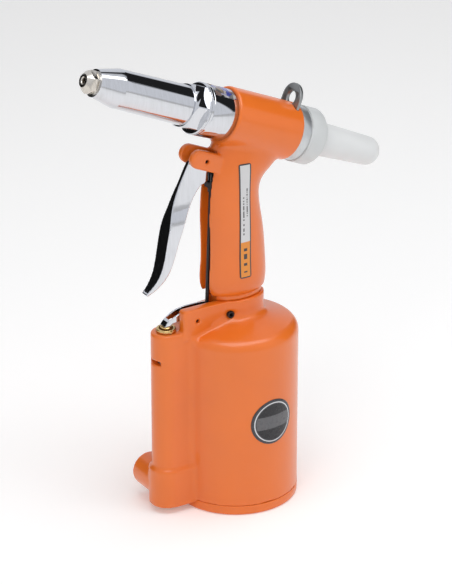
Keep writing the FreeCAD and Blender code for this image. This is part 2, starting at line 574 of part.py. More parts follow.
# ---- pulling piston, jaw case and jaws -------------------------------------------------------
CASE_FRONT = JAW_FRONT - 1.0
CASE_REAR = -60.0
ROD_FRONT = -75.0
PULL_FACE = SPIGOT_END + 1.2
PULL_BACK = PULL_FACE + 13.0
PULL_R = HEAD_BORE_R - SLIDE_GAP
JAW_REAR = JAW_FRONT + JAW_L
CASE_BORE_R = JAW_CONE_R + (JAW_L + 0.8) * CONE_SLOPE + 0.1
CASE_THREAD_R = ROD_R + FIT_GAP
PULL_SEAL = PULL_FACE + 5.0


def pulling_piston():
    shape = turned_x([(ROD_FRONT, ROD_BORE_R), (ROD_FRONT, ROD_R - 0.6), (ROD_FRONT + 0.6, ROD_R),
                      (PULL_FACE, ROD_R),
                      (PULL_FACE + 1.0, PULL_R), (PULL_BACK, PULL_R), (PULL_BACK, 9.0), (PULL_BACK + 6, 7.0),
                      (PULL_BACK + 6, ROD_BORE_R)])
    return along_head(shape.cut(ring(PULL_R + 1, PULL_R - 2.2, PULL_SEAL, PULL_SEAL + 3, "x")))


def jaw_case():
    shape = turned_x([(CASE_FRONT, JAW_CONE_R - 0.2), (CASE_FRONT, CASE_R - 4.4), (CASE_FRONT + 4.4, CASE_R),
                      (CASE_REAR, CASE_R), (CASE_REAR, CASE_THREAD_R), (JAW_REAR + 1.2, CASE_THREAD_R),
                      (JAW_REAR + 0.8, CASE_BORE_R)])
    flats = ring(CASE_R + 2, 0.1, CASE_REAR - 8, CASE_REAR + 1, "x")
    flats = flats.cut(block(CASE_REAR - 9, CASE_REAR + 2, -CASE_R * 0.93, CASE_R * 0.93, -CASE_R - 3,
                            CASE_R + 3))
    return along_head(shape.cut(flats))


def jaw(number):
    """One of the three jaws: a sector of a cone with a toothed bite along the mandrel."""
    front = JAW_FRONT + FACE_GAP
    small = JAW_CONE_R - 0.25 + (front - JAW_FRONT) * CONE_SLOPE
    large = small + (JAW_REAR - front) * CONE_SLOPE
    points = [(front, small)]
    teeth = 9
    pitch = (JAW_L - 3) / teeth
    points += [(JAW_REAR, large), (JAW_REAR, JAW_BITE_R + 0.9)]
    for i in range(teeth, 0, -1):
        station = front + 1.2 + pitch * i
        points += [(station, JAW_BITE_R), (station - pitch * 0.75, JAW_BITE_R + 0.35)]
    points += [(front + 0.8, JAW_BITE_R + 0.1), (front, JAW_BITE_R + 0.9)]
    sector = turned_x(points, JAW_SECTOR)
    sector.rotate(V(0, 0, 0), V(1, 0, 0), number * 120.0 - JAW_SECTOR / 2)
    return along_head(sector)


save("pulling_piston", pulling_piston())
save("pulling_piston_seal", along_head(ring(HEAD_BORE_R - 0.12, PULL_R - 2.2 + FIT_GAP, PULL_SEAL + FIT_GAP,
                                            PULL_SEAL + 3 - FIT_GAP, "x")))
save("jaw_case", jaw_case())
for number in range(3):
    save("jaw_%d" % (number + 1), jaw(number))

PUSHER_END = JAW_REAR + 6.5
PUSHER_R = CASE_THREAD_R - SLIDE_GAP
save("jaw_pusher", along_head(turned_x([
    (JAW_REAR + 1.6, 2.4), (JAW_REAR + FACE_GAP, 4.2), (JAW_REAR + FACE_GAP, 5.6), (JAW_REAR + 2.2, PUSHER_R),
    (PUSHER_END, PUSHER_R), (PUSHER_END, 4.6), (PUSHER_END + 3, 4.6), (PUSHER_END + 3, 2.4)])))
save("jaw_spring", along_head(z_to_x(spring(0.6, 5.9, PUSHER_END + FACE_GAP, ROD_FRONT - FACE_GAP, 4.5))))

# ---- tail: ring, guide tube, return spring, cap, bottle, hook --------------------------------
SPRING_SEAT = HEAD_REAR - 8.1
TUBE_HUB_R = 5.0
CAP_MOUTH = TAIL_CAP_END - 8.6
BOTTLE_START = CAP_MOUTH + 0.5


def tail_ring():
    shape = turned_x([(SPRING_SEAT, TUBE_HUB_R + FIT_GAP), (SPRING_SEAT, HEAD_BORE_R - FIT_GAP),
                      (HEAD_REAR + FIT_GAP, HEAD_BORE_R - FIT_GAP), (HEAD_REAR + FIT_GAP, TAIL_RING_R - 0.4),
                      (HEAD_REAR + 0.5, TAIL_RING_R), (TAIL_RING_END - 0.5, TAIL_RING_R),
                      (TAIL_RING_END, TAIL_RING_R - 0.5), (TAIL_RING_END, 13.0), (TAIL_RING_END + 5, 13.0),
                      (TAIL_RING_END + 5, TUBE_HUB_R + FIT_GAP)])
    return along_head(shape)


def tail_cap():
    start = TAIL_RING_END + FIT_GAP
    shape = turned_x([(start, 13.0 + FIT_GAP), (start, TAIL_CAP_R - 0.5), (start + 0.5, TAIL_CAP_R),
                      (TAIL_CAP_END - 5.2, TAIL_CAP_R), (TAIL_CAP_END - 3.0, TAIL_CAP_R - 1.1),
                      (TAIL_CAP_END, BOTTLE_R + 3.4), (TAIL_CAP_END, BOTTLE_R + SLIDE_GAP + 0.2),
                      (CAP_MOUTH, BOTTLE_R + SLIDE_GAP + 0.2), (CAP_MOUTH, TUBE_HUB_R + 1),
                      (TAIL_RING_END + 5 + FIT_GAP, TUBE_HUB_R + 1), (TAIL_RING_END + 5 + FIT_GAP,
                                                            13.0 + FIT_GAP)])
    return along_head(shape)


def mandrel_tube():
    shape = turned_x([(PULL_BACK - 8, 2.5), (PULL_BACK - 8, ROD_BORE_R - SLIDE_GAP),
                      (SPRING_SEAT + 3, ROD_BORE_R - SLIDE_GAP),
                      (SPRING_SEAT + 3, TUBE_HUB_R), (TAIL_RING_END + 3, TUBE_HUB_R),
                      (TAIL_RING_END + 3, ROD_BORE_R - SLIDE_GAP), (CAP_MOUTH + 6,
                                                            ROD_BORE_R - SLIDE_GAP), (CAP_MOUTH + 6, 2.5)])
    return along_head(shape)


def bottle_profile(inset):
    """Half outline of the bottle from its mouth to its round end, offset inwards by inset."""
    shoulder = BOTTLE_END - BOTTLE_TIP_R
    radius = BOTTLE_TIP_R - inset
    points = [V(BOTTLE_START, 0, BOTTLE_R - inset), V(shoulder, 0, radius)]
    middle = V(shoulder + radius * math.sin(math.pi / 4), 0, radius * math.cos(math.pi / 4))
    end = V(shoulder + radius, 0, 0)
    edges = [Part.makeLine(points[0], points[1]), Part.Arc(points[1], middle, end).toShape(),
             Part.makeLine(end, V(BOTTLE_START, 0, 0)), Part.makeLine(V(BOTTLE_START, 0, 0), points[0])]
    return Part.Face(Part.Wire(edges)).revolve(V(0, 0, 0), V(1, 0, 0), 360)


def collector_bottle():
    mouth = rod(BOTTLE_R - BOTTLE_WALL, BOTTLE_START - 1, BOTTLE_START + 2, "x")
    return along_head(bottle_profile(0).cut(bottle_profile(BOTTLE_WALL)).cut(mouth))


def hook_plate():
    """Suspension eye: a flat plate in a slot of the housing, with its foot on the tail ring's spigot."""
    rear = HOOK_STATION + HOOK_T
    eye = rod(HOOK_R, HOOK_STATION, rear, "x", z=HOOK_HOLE_UP)
    plate = eye.fuse(block(HOOK_STATION, rear, -HOOK_R, HOOK_R, 0, HOOK_HOLE_UP))
    plate = plate.cut(rod(HEAD_BORE_R + FIT_GAP, HOOK_STATION - 1, rear + 1, "x"))
    plate = plate.cut(rod(HOOK_HOLE_R, HOOK_STATION - 1, rear + 1, "x", z=HOOK_HOLE_UP))
    return along_head(plate.removeSplitter())


save("tail_ring", tail_ring())
save("return_spring", along_head(z_to_x(spring(1.1, 11.4, PULL_BACK + FACE_GAP, SPRING_SEAT - FACE_GAP, 5))))
save("mandrel_tube", mandrel_tube())
save("tail_cap", tail_cap())
save("collector_bottle", collector_bottle())
save("hook_plate", hook_plate())

# ---- trigger ---------------------------------------------------------------------------------
# Side view of the lever, front edge from the pivot's crown down to the tip, then the rear edge up.
TRIGGER_FRONT = [(-29.3, 264.3), (-33.6, 263.0), (-37.0, 260.2), (-42.8, 250.4), (-50.0, 235.6),
                 (-55.8, 218.0),
                 (-59.3, 201.5), (-62.0, 188.0), (-65.2, 179.3), (-69.4, 173.2), (-74.0, 168.6)]
TRIGGER_REAR = [(-73.0, 167.4), (-65.0, 171.9), (-59.0, 178.2), (-55.3, 185.4), (-51.8, 196.0),
                (-47.4, 209.0), (-41.5, 222.5), (-35.4, 233.0), (-29.5, 240.0)]
# Front view: height and half width.
TRIGGER_WIDTH = [(268.0, TRIGGER_ARM_HALF), (236.0, TRIGGER_ARM_HALF), (226.0, 3.9),
                 (216.0, TRIGGER_FINGER_HALF - 0.4),
                 (203.0, TRIGGER_FINGER_HALF), (188.0, TRIGGER_FINGER_HALF - 0.4), (178.0, 4.9), (166.0, 2.6)]
TRIGGER_CROWN_R = 4.8
ROD_EYE_R = 3.4


def curve(points):
    """Smooth curve in the XZ plane through the points."""
    line = Part.BSplineCurve()
    line.interpolate([V(x, 0, z) for x, z in points])
    return line


def xz_prism(edges, half):
    """Prism across Y of a closed outline in the XZ plane."""
    prism = Part.Face(Part.Wire(edges)).extrude(V(0, 2 * half, 0))
    prism.translate(V(0, -half, 0))
    return prism


def link(first, second):
    return Part.makeLine(V(first[0], 0, first[1]), V(second[0], 0, second[1]))


def front_view(widths, inset, x0, x1):
    """Prism along X of the symmetrical outline given by (height, half width) pairs."""
    near = Part.BSplineCurve()
    near.interpolate([V(x0, -(w - inset), z) for z, w in widths])
    far = Part.BSplineCurve()
    far.interpolate([V(x0, w - inset, z) for z, w in widths])
    top = Part.makeLine(near.StartPoint, far.StartPoint)
    bottom = Part.makeLine(near.EndPoint, far.EndPoint)
    return Part.Face(Part.Wire([near.toShape(), bottom, far.toShape(), top])).extrude(V(x1 - x0, 0, 0))


def shifted(line, amount, count, start, end):
    """Points of a curve moved square to it, towards the rear, by amount."""
    points = []
    for i in range(count):
        u = line.FirstParameter + (line.LastParameter - line.FirstParameter) * (start + (end - start) * i / (count - 1))
        spot = line.value(u)
        along = line.tangent(u)[0]
        points.append((spot.x - along.z * amount, spot.z + along.x * amount))
    return points


def trigger_lever():
    front = curve(TRIGGER_FRONT)
    rear = curve(TRIGGER_REAR)
    eye = ROD_TOP_PIN
    arm_low = (eye[0] - 1.0, eye[1] - ROD_EYE_R)
    arm_mid = (eye[0] + ROD_EYE_R, eye[1])
    arm_top = (eye[0] - 1.2, eye[1] + ROD_EYE_R - 0.2)
    back = (TRIGGER_PIVOT[0] + TRIGGER_CROWN_R, TRIGGER_PIVOT[1])
    crown_mid = (TRIGGER_PIVOT[0] + TRIGGER_CROWN_R * 0.7, TRIGGER_PIVOT[1] + TRIGGER_CROWN_R * 0.78)
    edges = [front.toShape(), link(TRIGGER_FRONT[-1], TRIGGER_REAR[0]), rear.toShape(),
             link(TRIGGER_REAR[-1], arm_low),
             Part.Arc(V(arm_low[0], 0, arm_low[1]), V(arm_mid[0], 0, arm_mid[1]),
                      V(arm_top[0], 0, arm_top[1])).toShape(),
             link(arm_top, back),
             Part.Arc(V(back[0], 0, back[1]), V(crown_mid[0], 0, crown_mid[1]),
                      V(TRIGGER_FRONT[0][0], 0, TRIGGER_FRONT[0][1])).toShape()]
    outer = xz_prism(edges, TRIGGER_FINGER_HALF + 1).common(front_view(TRIGGER_WIDTH, 0, -80, -10))
    inner_front = shifted(front, SHEET, 12, 0.10, 0.93)
    inner_line = curve(inner_front)
    behind = (0.0, inner_front[-1][1])
    over = (0.0, inner_front[0][1])
    hollow = xz_prism([inner_line.toShape(), link(inner_front[-1], behind), link(behind, over),
                       link(over, inner_front[0])],
                      TRIGGER_FINGER_HALF + 1)
    hollow = hollow.common(front_view(TRIGGER_WIDTH, SHEET, -80, 10))
    lever = outer.cut(hollow)
    lever = lever.cut(rod(PIN_R + RUN_GAP, -10, 10, "y", x=TRIGGER_PIVOT[0], z=TRIGGER_PIVOT[1]))
    return lever.cut(rod(LINK_PIN_R + FIT_GAP, -10, 10, "y", x=eye[0], z=eye[1]))


def hollow_pin(start, end, x, z):
    return ring(PIN_R, PIN_R * 0.5, start, end, "y", x=x, z=z)


WASHER_OUT = EAR_GAP_HALF - FACE_GAP / 2
WASHER_IN = TRIGGER_ARM_HALF + FACE_GAP / 2
save("trigger_lever", trigger_lever())
save("trigger_pin", hollow_pin(-EAR_HALF_Y + PIN_RECESS, EAR_HALF_Y - PIN_RECESS, *TRIGGER_PIVOT))
save("trigger_washers", *[ring(4.0, PIN_R + FIT_GAP, min(side * WASHER_IN, side * WASHER_OUT),
                               max(side * WASHER_IN,
                                   side * WASHER_OUT), "y", x=TRIGGER_PIVOT[0], z=TRIGGER_PIVOT[1])
                          for side in (-1, 1)])

# ---- pull rod --------------------------------------------------------------------------------
CLEVIS_HALF = 4.4
CLEVIS_FOOT = 13.0
ROD_DIR = V(ROD_TOP_PIN[0] - ROD_FOOT_PIN[0], 0, ROD_TOP_PIN[1] - ROD_FOOT_PIN[1])
ROD_LENGTH = ROD_DIR.Length
ROD_LEAN = math.degrees(math.atan2(ROD_DIR.x, ROD_DIR.z))
ROD_FRAME = FreeCAD.Placement(V(ROD_FOOT_PIN[0], 0, ROD_FOOT_PIN[1]), FreeCAD.Rotation(V(0, 1, 0), ROD_LEAN))
ROD_EYE_HALF = 1.2
FORK_ROOM = 2.6


def on_rod(shape):
    placed = shape.copy()
    placed.Placement = ROD_FRAME.multiply(placed.Placement)
    return placed


def rod_clevis():
    """Fork that straddles the trigger's rear arm and is screwed onto the rod."""
    top = ROD_LENGTH
    foot = top - CLEVIS_FOOT + 3
    side = Part.Arc(V(-2.4, 0, top), V(0, 0, top + 2.4), V(2.4, 0, top)).toShape()
    fork = xz_prism([link((-2.4, foot), (-2.4, top)), side, link((2.4, top), (2.4, foot)),
                     link((2.4, foot), (-2.4, foot))],
                    CLEVIS_HALF)
    neck = Part.makeCone(1.9, 2.3, 3.4, V(0, 0, top - CLEVIS_FOOT), V(0, 0, 1))
    fork = fork.fuse(neck)
    arm_half = TRIGGER_ARM_HALF + FACE_GAP
    fork = fork.cut(block(-10, 10, -arm_half, arm_half, top - ROD_EYE_R - FORK_ROOM, top + 10))
    fork = fork.cut(rod(LINK_PIN_R + RUN_GAP, -10, 10, "y", z=top))
    return on_rod(fork.cut(rod(ROD_WIRE_R + FIT_GAP, 0, top - CLEVIS_FOOT + 6.5)).removeSplitter())


def pull_rod():
    """Wire rod with a flattened eye; the eye's slot takes up the rocker's arc."""
    bar = rod(ROD_WIRE_R, 1.0, ROD_LENGTH - CLEVIS_FOOT + 6)
    eye = rod(2.9, -ROD_EYE_HALF, ROD_EYE_HALF, "y")
    slot = rod(LINK_PIN_R + SLIDE_GAP, -5, 5, "y", x=-0.35).fuse(rod(LINK_PIN_R + SLIDE_GAP, -5, 5, "y",
                                                            x=0.35))
    slot = slot.fuse(block(-0.35, 0.35, -5, 5, -LINK_PIN_R - SLIDE_GAP, LINK_PIN_R + SLIDE_GAP))
    return on_rod(bar.fuse(eye).cut(slot).removeSplitter())


save("rod_clevis", rod_clevis())
save("pull_rod", pull_rod())
save("rod_top_pin", rod(LINK_PIN_R, -CLEVIS_HALF, CLEVIS_HALF, "y", x=ROD_TOP_PIN[0], z=ROD_TOP_PIN[1]))

# ---- rocker ----------------------------------------------------------------------------------
# Side view of the rocker: distance behind the valve axis and height.
ROCKER_TOP = [(-2.8, 141.0), (-0.8, 143.9), (3, 146.6), (7.8, 148.8), (12.8, 150.2), (18.3, 150.7),
              (24.8, 150.7), (30.8, 150.4), (36.2, 149.6)]
ROCKER_LOW = [(36.6, 144.4), (29.8, 143.6), (23.3, 141.8), (18.8, 140.6), (14.3, 141.8), (8.3, 143.4),
              (3.8, 143.1), (1.3, 141.2)]


def rocker_lever():
    top_points = [(VALVE_X + behind, z) for behind, z in ROCKER_TOP]
    low_points = [(VALVE_X + behind, z) for behind, z in ROCKER_LOW]
    top = curve(top_points)
    low = curve(low_points)
    outer = xz_prism([top.toShape(), link(top_points[-1], low_points[0]), low.toShape(),
                      link(low_points[-1], top_points[0])], ROCKER_HALF)
    near_side = [(-7, -ROCKER_TIP_HALF), (1.3, -ROCKER_TIP_HALF), (5.8, -ROCKER_HALF), (42, -ROCKER_HALF)]
    outline = near_side + [(behind, -y) for behind, y in reversed(near_side)] + near_side[:1]
    plan = Part.Face(Part.makePolygon([V(VALVE_X + behind, y, 130) for behind,
                                       y in outline])).extrude(V(0, 0, 30))
    outer = outer.common(plan)
    inner_top = shifted(top, SHEET, 9, 0.17, 0.97)
    inner = xz_prism([curve(inner_top).toShape(), link(inner_top[-1], (inner_top[-1][0], 130)),
                      link((inner_top[-1][0], 130), (inner_top[0][0], 130)), link((inner_top[0][0],
                                                            130), inner_top[0])],
                     ROCKER_HALF - SHEET)
    lever = outer.cut(inner)
    lever = lever.cut(rod(PIN_R + RUN_GAP, -10, 10, "y", x=ROCKER_PIVOT[0], z=ROCKER_PIVOT[1]))
    lever = lever.cut(rod(LINK_PIN_R + FIT_GAP, -10, 10, "y", x=ROD_FOOT_PIN[0], z=ROD_FOOT_PIN[1]))
    window = block(ROD_FOOT_PIN[0] - 4.6, ROD_FOOT_PIN[0] + 6, -2.0, 2.0, ROD_FOOT_PIN[1] - 4, PAD_Z)
    return lever.cut(window)


save("rocker_lever", rocker_lever())
save("rocker_pin", hollow_pin(CHEEK_Y + PIN_RECESS, LUG_Y - 0.5, *ROCKER_PIVOT))
save("rod_foot_pin", rod(LINK_PIN_R, -ROCKER_HALF, ROCKER_HALF, "y", x=ROD_FOOT_PIN[0], z=ROD_FOOT_PIN[1]))

# ---- valve -----------------------------------------------------------------------------------
NUT_TOP = TUBE_TOP + 2.5
NUT_FLOOR = TUBE_TOP - 4.0
NUT_BOTTOM = TUBE_TOP - 13.0
STEM_TOP = 140.7
STEM_FOOT = 40.0
LAND_R = 3.6
SLEEVE_BORE_R = LAND_R + SLIDE_GAP
SLEEVE_BOTTOM = 92.0
PLUG_TOP = 11.0


def valve_nut():
    nut = turned_z([(STEM_R + RUN_GAP, NUT_BOTTOM), (VALVE_BORE_R - FIT_GAP, NUT_BOTTOM),
                    (VALVE_BORE_R - FIT_GAP, TUBE_TOP + FIT_GAP / 2), (7.0,
                                                            TUBE_TOP + FIT_GAP / 2), (7.0, NUT_TOP - 0.5),
                    (6.6, NUT_TOP), (STEM_HEAD_R + 1.1, NUT_TOP), (STEM_HEAD_R + 1.1, NUT_FLOOR),
                    (STEM_R + RUN_GAP, NUT_FLOOR)])
    nut.translate(V(VALVE_X, 0, 0))
    for side in (-1, 1):
        nut = nut.cut(block(VALVE_X - 0.7, VALVE_X + 0.7, min(side * 5.8, side * 8),
                            max(side * 5.8, side * 8),
                            NUT_TOP - 1.4, NUT_TOP + 1))
    return nut


def valve_stem():
    points = [(0, STEM_FOOT), (STEM_R, STEM_FOOT)]
    for low, high in ((SLEEVE_BOTTOM + 4, SLEEVE_BOTTOM + 10), (EXHAUST_Z - 9, EXHAUST_Z - 3)):
        points += [(STEM_R, low), (LAND_R, low), (LAND_R, high), (STEM_R, high)]
    points += [(STEM_R, STEM_TOP - 2.4), (STEM_HEAD_R, STEM_TOP - 2.0), (STEM_HEAD_R, STEM_TOP - 0.5),
               (STEM_HEAD_R - 0.6, STEM_TOP), (0, STEM_TOP)]
    stem = turned_z(points)
    stem.translate(V(VALVE_X, 0, 0))
    return stem


def valve_sleeve():
    top = NUT_BOTTOM - FACE_GAP
    sleeve = ring(VALVE_BORE_R - FIT_GAP, SLEEVE_BORE_R, SLEEVE_BOTTOM, top, x=VALVE_X)
    for level in (EXHAUST_Z, SLEEVE_BOTTOM + 13):
        sleeve = sleeve.cut(rod(1.6, VALVE_X - 8, VALVE_X + 8, "x", z=level))
        sleeve = sleeve.cut(rod(1.6, -8, 8, "y", x=VALVE_X, z=level))
    return sleeve


def valve_plug():
    plug = rod(VALVE_BORE_R - FIT_GAP, BLOCK_BOTTOM + 0.6, PLUG_TOP, x=VALVE_X)
    socket = hexagon(6.0, BLOCK_BOTTOM, BLOCK_BOTTOM + 4.5, "z", VALVE_X)
    return plug.cut(socket)


STRAINER_HOLE_R = 0.55


def inlet_strainer():
    """Perforated disc in its seat behind the inlet thread."""
    y = INLET_END_Y - THREAD_L - STRAINER_T - FIT_GAP
    disc = rod(STRAINER_R, y, y + STRAINER_T, "y", x=VALVE_X, z=INLET_Z)
    for ring_r, count in ((0.0, 1), (1.6, 6), (3.2, 12)):
        for i in range(count):
            a = 2 * math.pi * i / count
            x = VALVE_X + ring_r * math.cos(a)
            disc = disc.cut(rod(STRAINER_HOLE_R, y - 1, y + 3, "y", x=x, z=INLET_Z + ring_r * math.sin(a)))
    return disc


save("valve_nut", valve_nut())
save("valve_stem", valve_stem())
save("valve_sleeve", valve_sleeve())
save("valve_spring", spring(0.5, 3.6, PLUG_TOP + FACE_GAP, STEM_FOOT - FACE_GAP, 9, VALVE_X))
save("valve_plug", valve_plug())
save("inlet_strainer", inlet_strainer())

# ---- labels ----------------------------------------------------------------------------------
BADGE_R = 16.9
BADGE_TURN = 4.5
BADGE_Z = 69.8
BADGE_T = 1.1
LABEL_X = -2.3
LABEL_W = 9.2
LABEL_Z0 = 170.5
LABEL_Z1 = 254.5
SEAL_STATIONS = (COLLAR_FRONT + 2.0, HEAD_FRONT - 1.5)
SEAL_ANGLES = (-12.0, 38.0)


def badge():
    """Round emblem that follows the cylinder's wall."""
    wall = ring(CYL_R + BADGE_T, CYL_R + FIT_GAP, BADGE_Z - 30, BADGE_Z + 30)
    emblem = wall.common(rod(BADGE_R, -CYL_R - 5, -CYL_R * 0.6, "y", z=BADGE_Z))
    emblem.rotate(V(0, 0, 0), V(0, 0, 1), BADGE_TURN)
    return emblem


def rating_label():
    strip = block(LABEL_X - LABEL_W / 2, LABEL_X + LABEL_W / 2, -25, -8, LABEL_Z0, LABEL_Z1)
    strip = rounded(strip, 1.5, lambda e: e.BoundBox.YLength > 10)
    return grip(FIT_GAP + LABEL_T).common(strip).cut(grip(FIT_GAP))


def seal_label():
    """Tamper seal wrapped over the collar."""
    angle = SEAL_ANGLES[1] - SEAL_ANGLES[0]
    start, end = SEAL_STATIONS
    low = COLLAR_R + FIT_GAP
    patch = turned_x([(start, low), (start, low + 0.2), (end, low + 0.2), (end, low)], angle)
    patch.rotate(V(0, 0, 0), V(1, 0, 0), SEAL_ANGLES[0])
    return along_head(patch)


save("badge", badge())
save("rating_label", rating_label())
save("seal_label", seal_label())
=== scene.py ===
import math

import bmesh
import bpy
import numpy as np
from mathutils import Matrix, Vector


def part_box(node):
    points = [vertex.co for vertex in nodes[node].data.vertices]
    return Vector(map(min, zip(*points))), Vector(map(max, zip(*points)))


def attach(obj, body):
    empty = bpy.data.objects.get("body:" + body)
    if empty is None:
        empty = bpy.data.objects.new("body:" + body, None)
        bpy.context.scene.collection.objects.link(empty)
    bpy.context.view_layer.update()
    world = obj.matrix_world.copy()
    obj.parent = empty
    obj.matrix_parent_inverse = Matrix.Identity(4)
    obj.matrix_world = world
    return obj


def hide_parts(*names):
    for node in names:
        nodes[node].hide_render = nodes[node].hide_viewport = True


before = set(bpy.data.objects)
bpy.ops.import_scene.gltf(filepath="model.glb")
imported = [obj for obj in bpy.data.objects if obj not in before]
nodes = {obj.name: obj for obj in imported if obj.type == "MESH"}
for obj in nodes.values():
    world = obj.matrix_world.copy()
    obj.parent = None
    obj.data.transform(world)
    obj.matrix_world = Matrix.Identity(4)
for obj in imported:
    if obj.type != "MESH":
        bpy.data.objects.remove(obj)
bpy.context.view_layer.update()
MM = 0.001

# ---- Studio -----------------------------------------------------------------------------------
# A pale sweep of floor, three large soft lamps and a long lens that looks down on the near side,
# as a tool maker shows a gun on its own base.
base = (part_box("base_cap")[0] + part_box("base_cap")[1]) / 2
VIEW_TURN = math.radians(-31.87)
VIEW_DROP = math.radians(24.11)
VIEW_DISTANCE = 2.13572
VIEW_AIM = Vector((base.x, base.y, 0.0492))
FRAME_LEFT = 0.00681
FRAME_UP = 0.09459
LENS = 184.93

right = Vector((math.cos(VIEW_TURN), math.sin(VIEW_TURN), 0))
forward = Vector((-math.sin(VIEW_TURN) * math.cos(VIEW_DROP), math.cos(VIEW_TURN) * math.cos(VIEW_DROP),
                  -math.sin(VIEW_DROP)))
up = right.cross(forward)
camera_data = bpy.data.cameras.new("camera")
camera_data.lens = LENS
camera_data.sensor_width = 36
camera_data.clip_end = 50
camera = bpy.data.objects.new("camera", camera_data)
camera_place = VIEW_AIM - right * FRAME_LEFT + up * FRAME_UP - forward * VIEW_DISTANCE
camera.matrix_world = Matrix.Translation(camera_place) @ Matrix((right, up, -forward)).transposed().to_4x4()
bpy.context.scene.collection.objects.link(camera)
bpy.context.scene.camera = camera
bpy.context.scene.view_settings.view_transform = "Standard"

FLOOR_HALF = 6.0
FLOOR_DROP = 0.2 * MM
FLOOR_GLOW = 0.16
floor_mesh = bpy.data.meshes.new("floor")
floor_mesh.from_pydata([(-FLOOR_HALF, -FLOOR_HALF, 0), (FLOOR_HALF, -FLOOR_HALF, 0),
                        (FLOOR_HALF, FLOOR_HALF, 0), (-FLOOR_HALF, FLOOR_HALF, 0)], [], [(0, 1, 2, 3)])
floor = bpy.data.objects.new("floor", floor_mesh)
floor.location.z = -FLOOR_DROP
bpy.context.scene.collection.objects.link(floor)
floor_paper = bpy.data.materials.new("floor_paper")
floor_paper.use_nodes = True
floor_shader = floor_paper.node_tree.nodes["Principled BSDF"]
floor_shader.inputs["Base Color"].default_value = (0.94, 0.94, 0.945, 1)
floor_shader.inputs["Roughness"].default_value = 0.9
floor_shader.inputs["Specular IOR Level"].default_value = 0.2
floor_shader.inputs["Emission Color"].default_value = (1, 1, 1, 1)
floor_shader.inputs["Emission Strength"].default_value = FLOOR_GLOW
floor_mesh.materials.append(floor_paper)


def soft_lamp(name, place, aim, width, height, watts, mirrored=True):
    """Square soft lamp; mirrored says whether polished pieces show it."""
    data = bpy.data.lights.new(name, "AREA")
    data.shape = "RECTANGLE"
    data.size = width
    data.size_y = height
    data.energy = watts
    lamp = bpy.data.objects.new(name, data)
    lamp.location = place
    lamp.rotation_euler = (Vector(aim) - Vector(place)).to_track_quat("-Z", "Y").to_euler()
    lamp.visible_glossy = mirrored
    bpy.context.scene.collection.objects.link(lamp)


soft_lamp("lamp_top", (0.05, -0.25, 1.5), (0, 0, 0.15), 1.5, 0.9, 11)
soft_lamp("lamp_near_left", (-1.3, -1.1, 0.9), (0, 0, 0.17), 0.9, 1.2, 6, mirrored=False)
soft_lamp("lamp_near_right", (0.9, -1.4, 0.75), (0, 0, 0.15), 0.9, 0.9, 3.5, mirrored=False)

# A black card stands behind the lever side, seen only in the polished pieces.
CARD_AT = Vector((-0.41, 0.42, 0.24))
CARD_HALF_WIDTH = 0.22
CARD_HALF_HEIGHT = 0.24
card_side = Vector((0.78, 0.63, 0)) * CARD_HALF_WIDTH
card_up = Vector((0, 0, CARD_HALF_HEIGHT))
card_mesh = bpy.data.meshes.new("black_card")
card_mesh.from_pydata([CARD_AT - card_side - card_up, CARD_AT + card_side - card_up,
                       CARD_AT + card_side + card_up, CARD_AT - card_side + card_up], [], [(0, 1, 2, 3)])
card = bpy.data.objects.new("black_card", card_mesh)
bpy.context.scene.collection.objects.link(card)
card.visible_camera = False
card.visible_diffuse = False
card.visible_shadow = False
card_paper = bpy.data.materials.new("black_paper")
card_paper.use_nodes = True
card_shader = card_paper.node_tree.nodes["Principled BSDF"]
card_shader.inputs["Base Color"].default_value = (0.01, 0.01, 0.01, 1)
card_shader.inputs["Roughness"].default_value = 1.0
card_shader.inputs["Specular IOR Level"].default_value = 0.0
card_mesh.materials.append(card_paper)


def math_node(tree, operation, first, second=None, third=None):
    """One arithmetic node; each value is a number or a socket."""
    node = tree.nodes.new("ShaderNodeMath")
    node.operation = operation
    for socket, value in zip(node.inputs, (first, second, third)):
        if value is None:
            continue
        if isinstance(value, (int, float)):
            socket.default_value = value
        else:
            tree.links.new(value, socket)
    return node.outputs[0]


def soft_window(tree, value, low, high, edge):
    """1 where the value lies between low and high, with soft edges."""
    rise = tree.nodes.new("ShaderNodeMapRange")
    rise.interpolation_type = "SMOOTHSTEP"
    fall = tree.nodes.new("ShaderNodeMapRange")
    fall.interpolation_type = "SMOOTHSTEP"
    for node, start, end in ((rise, low - edge, low + edge), (fall, high + edge, high - edge)):
        tree.links.new(value, node.inputs["Value"])
        node.inputs["From Min"].default_value = start
        node.inputs["From Max"].default_value = end
    return math_node(tree, "MULTIPLY", rise.outputs["Result"], fall.outputs["Result"])


# The room is plain and pale, and white where it is seen directly; polished parts mirror its two
# dark door openings, each given by two turns and two heights.
world = bpy.data.worlds.new("studio_room")
bpy.context.scene.world = world
world.use_nodes = True
room = world.node_tree
room.nodes.clear()
direction = room.nodes.new("ShaderNodeTexCoord").outputs["Generated"]
parts = room.nodes.new("ShaderNodeSeparateXYZ")
room.links.new(direction, parts.inputs[0])
turn = math_node(room, "ARCTAN2", parts.outputs["Y"], parts.outputs["X"])
height = parts.outputs["Z"]
DARK_OPENINGS = (
    (math.radians(-24), math.radians(36), -0.02, 0.75),
    (math.radians(106), math.radians(152), -0.25, 0.42),
)
ROOM_LIGHT = 0.46
MIRRORED_PALE = 0.85
MIRRORED_DARK = 0.02
darkness = 0.0
for turn_low, turn_high, height_low, height_high in DARK_OPENINGS:
    across = soft_window(room, turn, turn_low, turn_high, 0.05)
    upright = soft_window(room, height, height_low, height_high, 0.04)
    darkness = math_node(room, "MAXIMUM", math_node(room, "MULTIPLY", across, upright), darkness)
plain_room = room.nodes.new("ShaderNodeBackground")
plain_room.inputs["Color"].default_value = (1.0, 1.0, 1.0, 1)
plain_room.inputs["Strength"].default_value = ROOM_LIGHT
mirrored_room = room.nodes.new("ShaderNodeBackground")
mirrored_room.inputs["Color"].default_value = (0.93, 0.95, 1.0, 1)
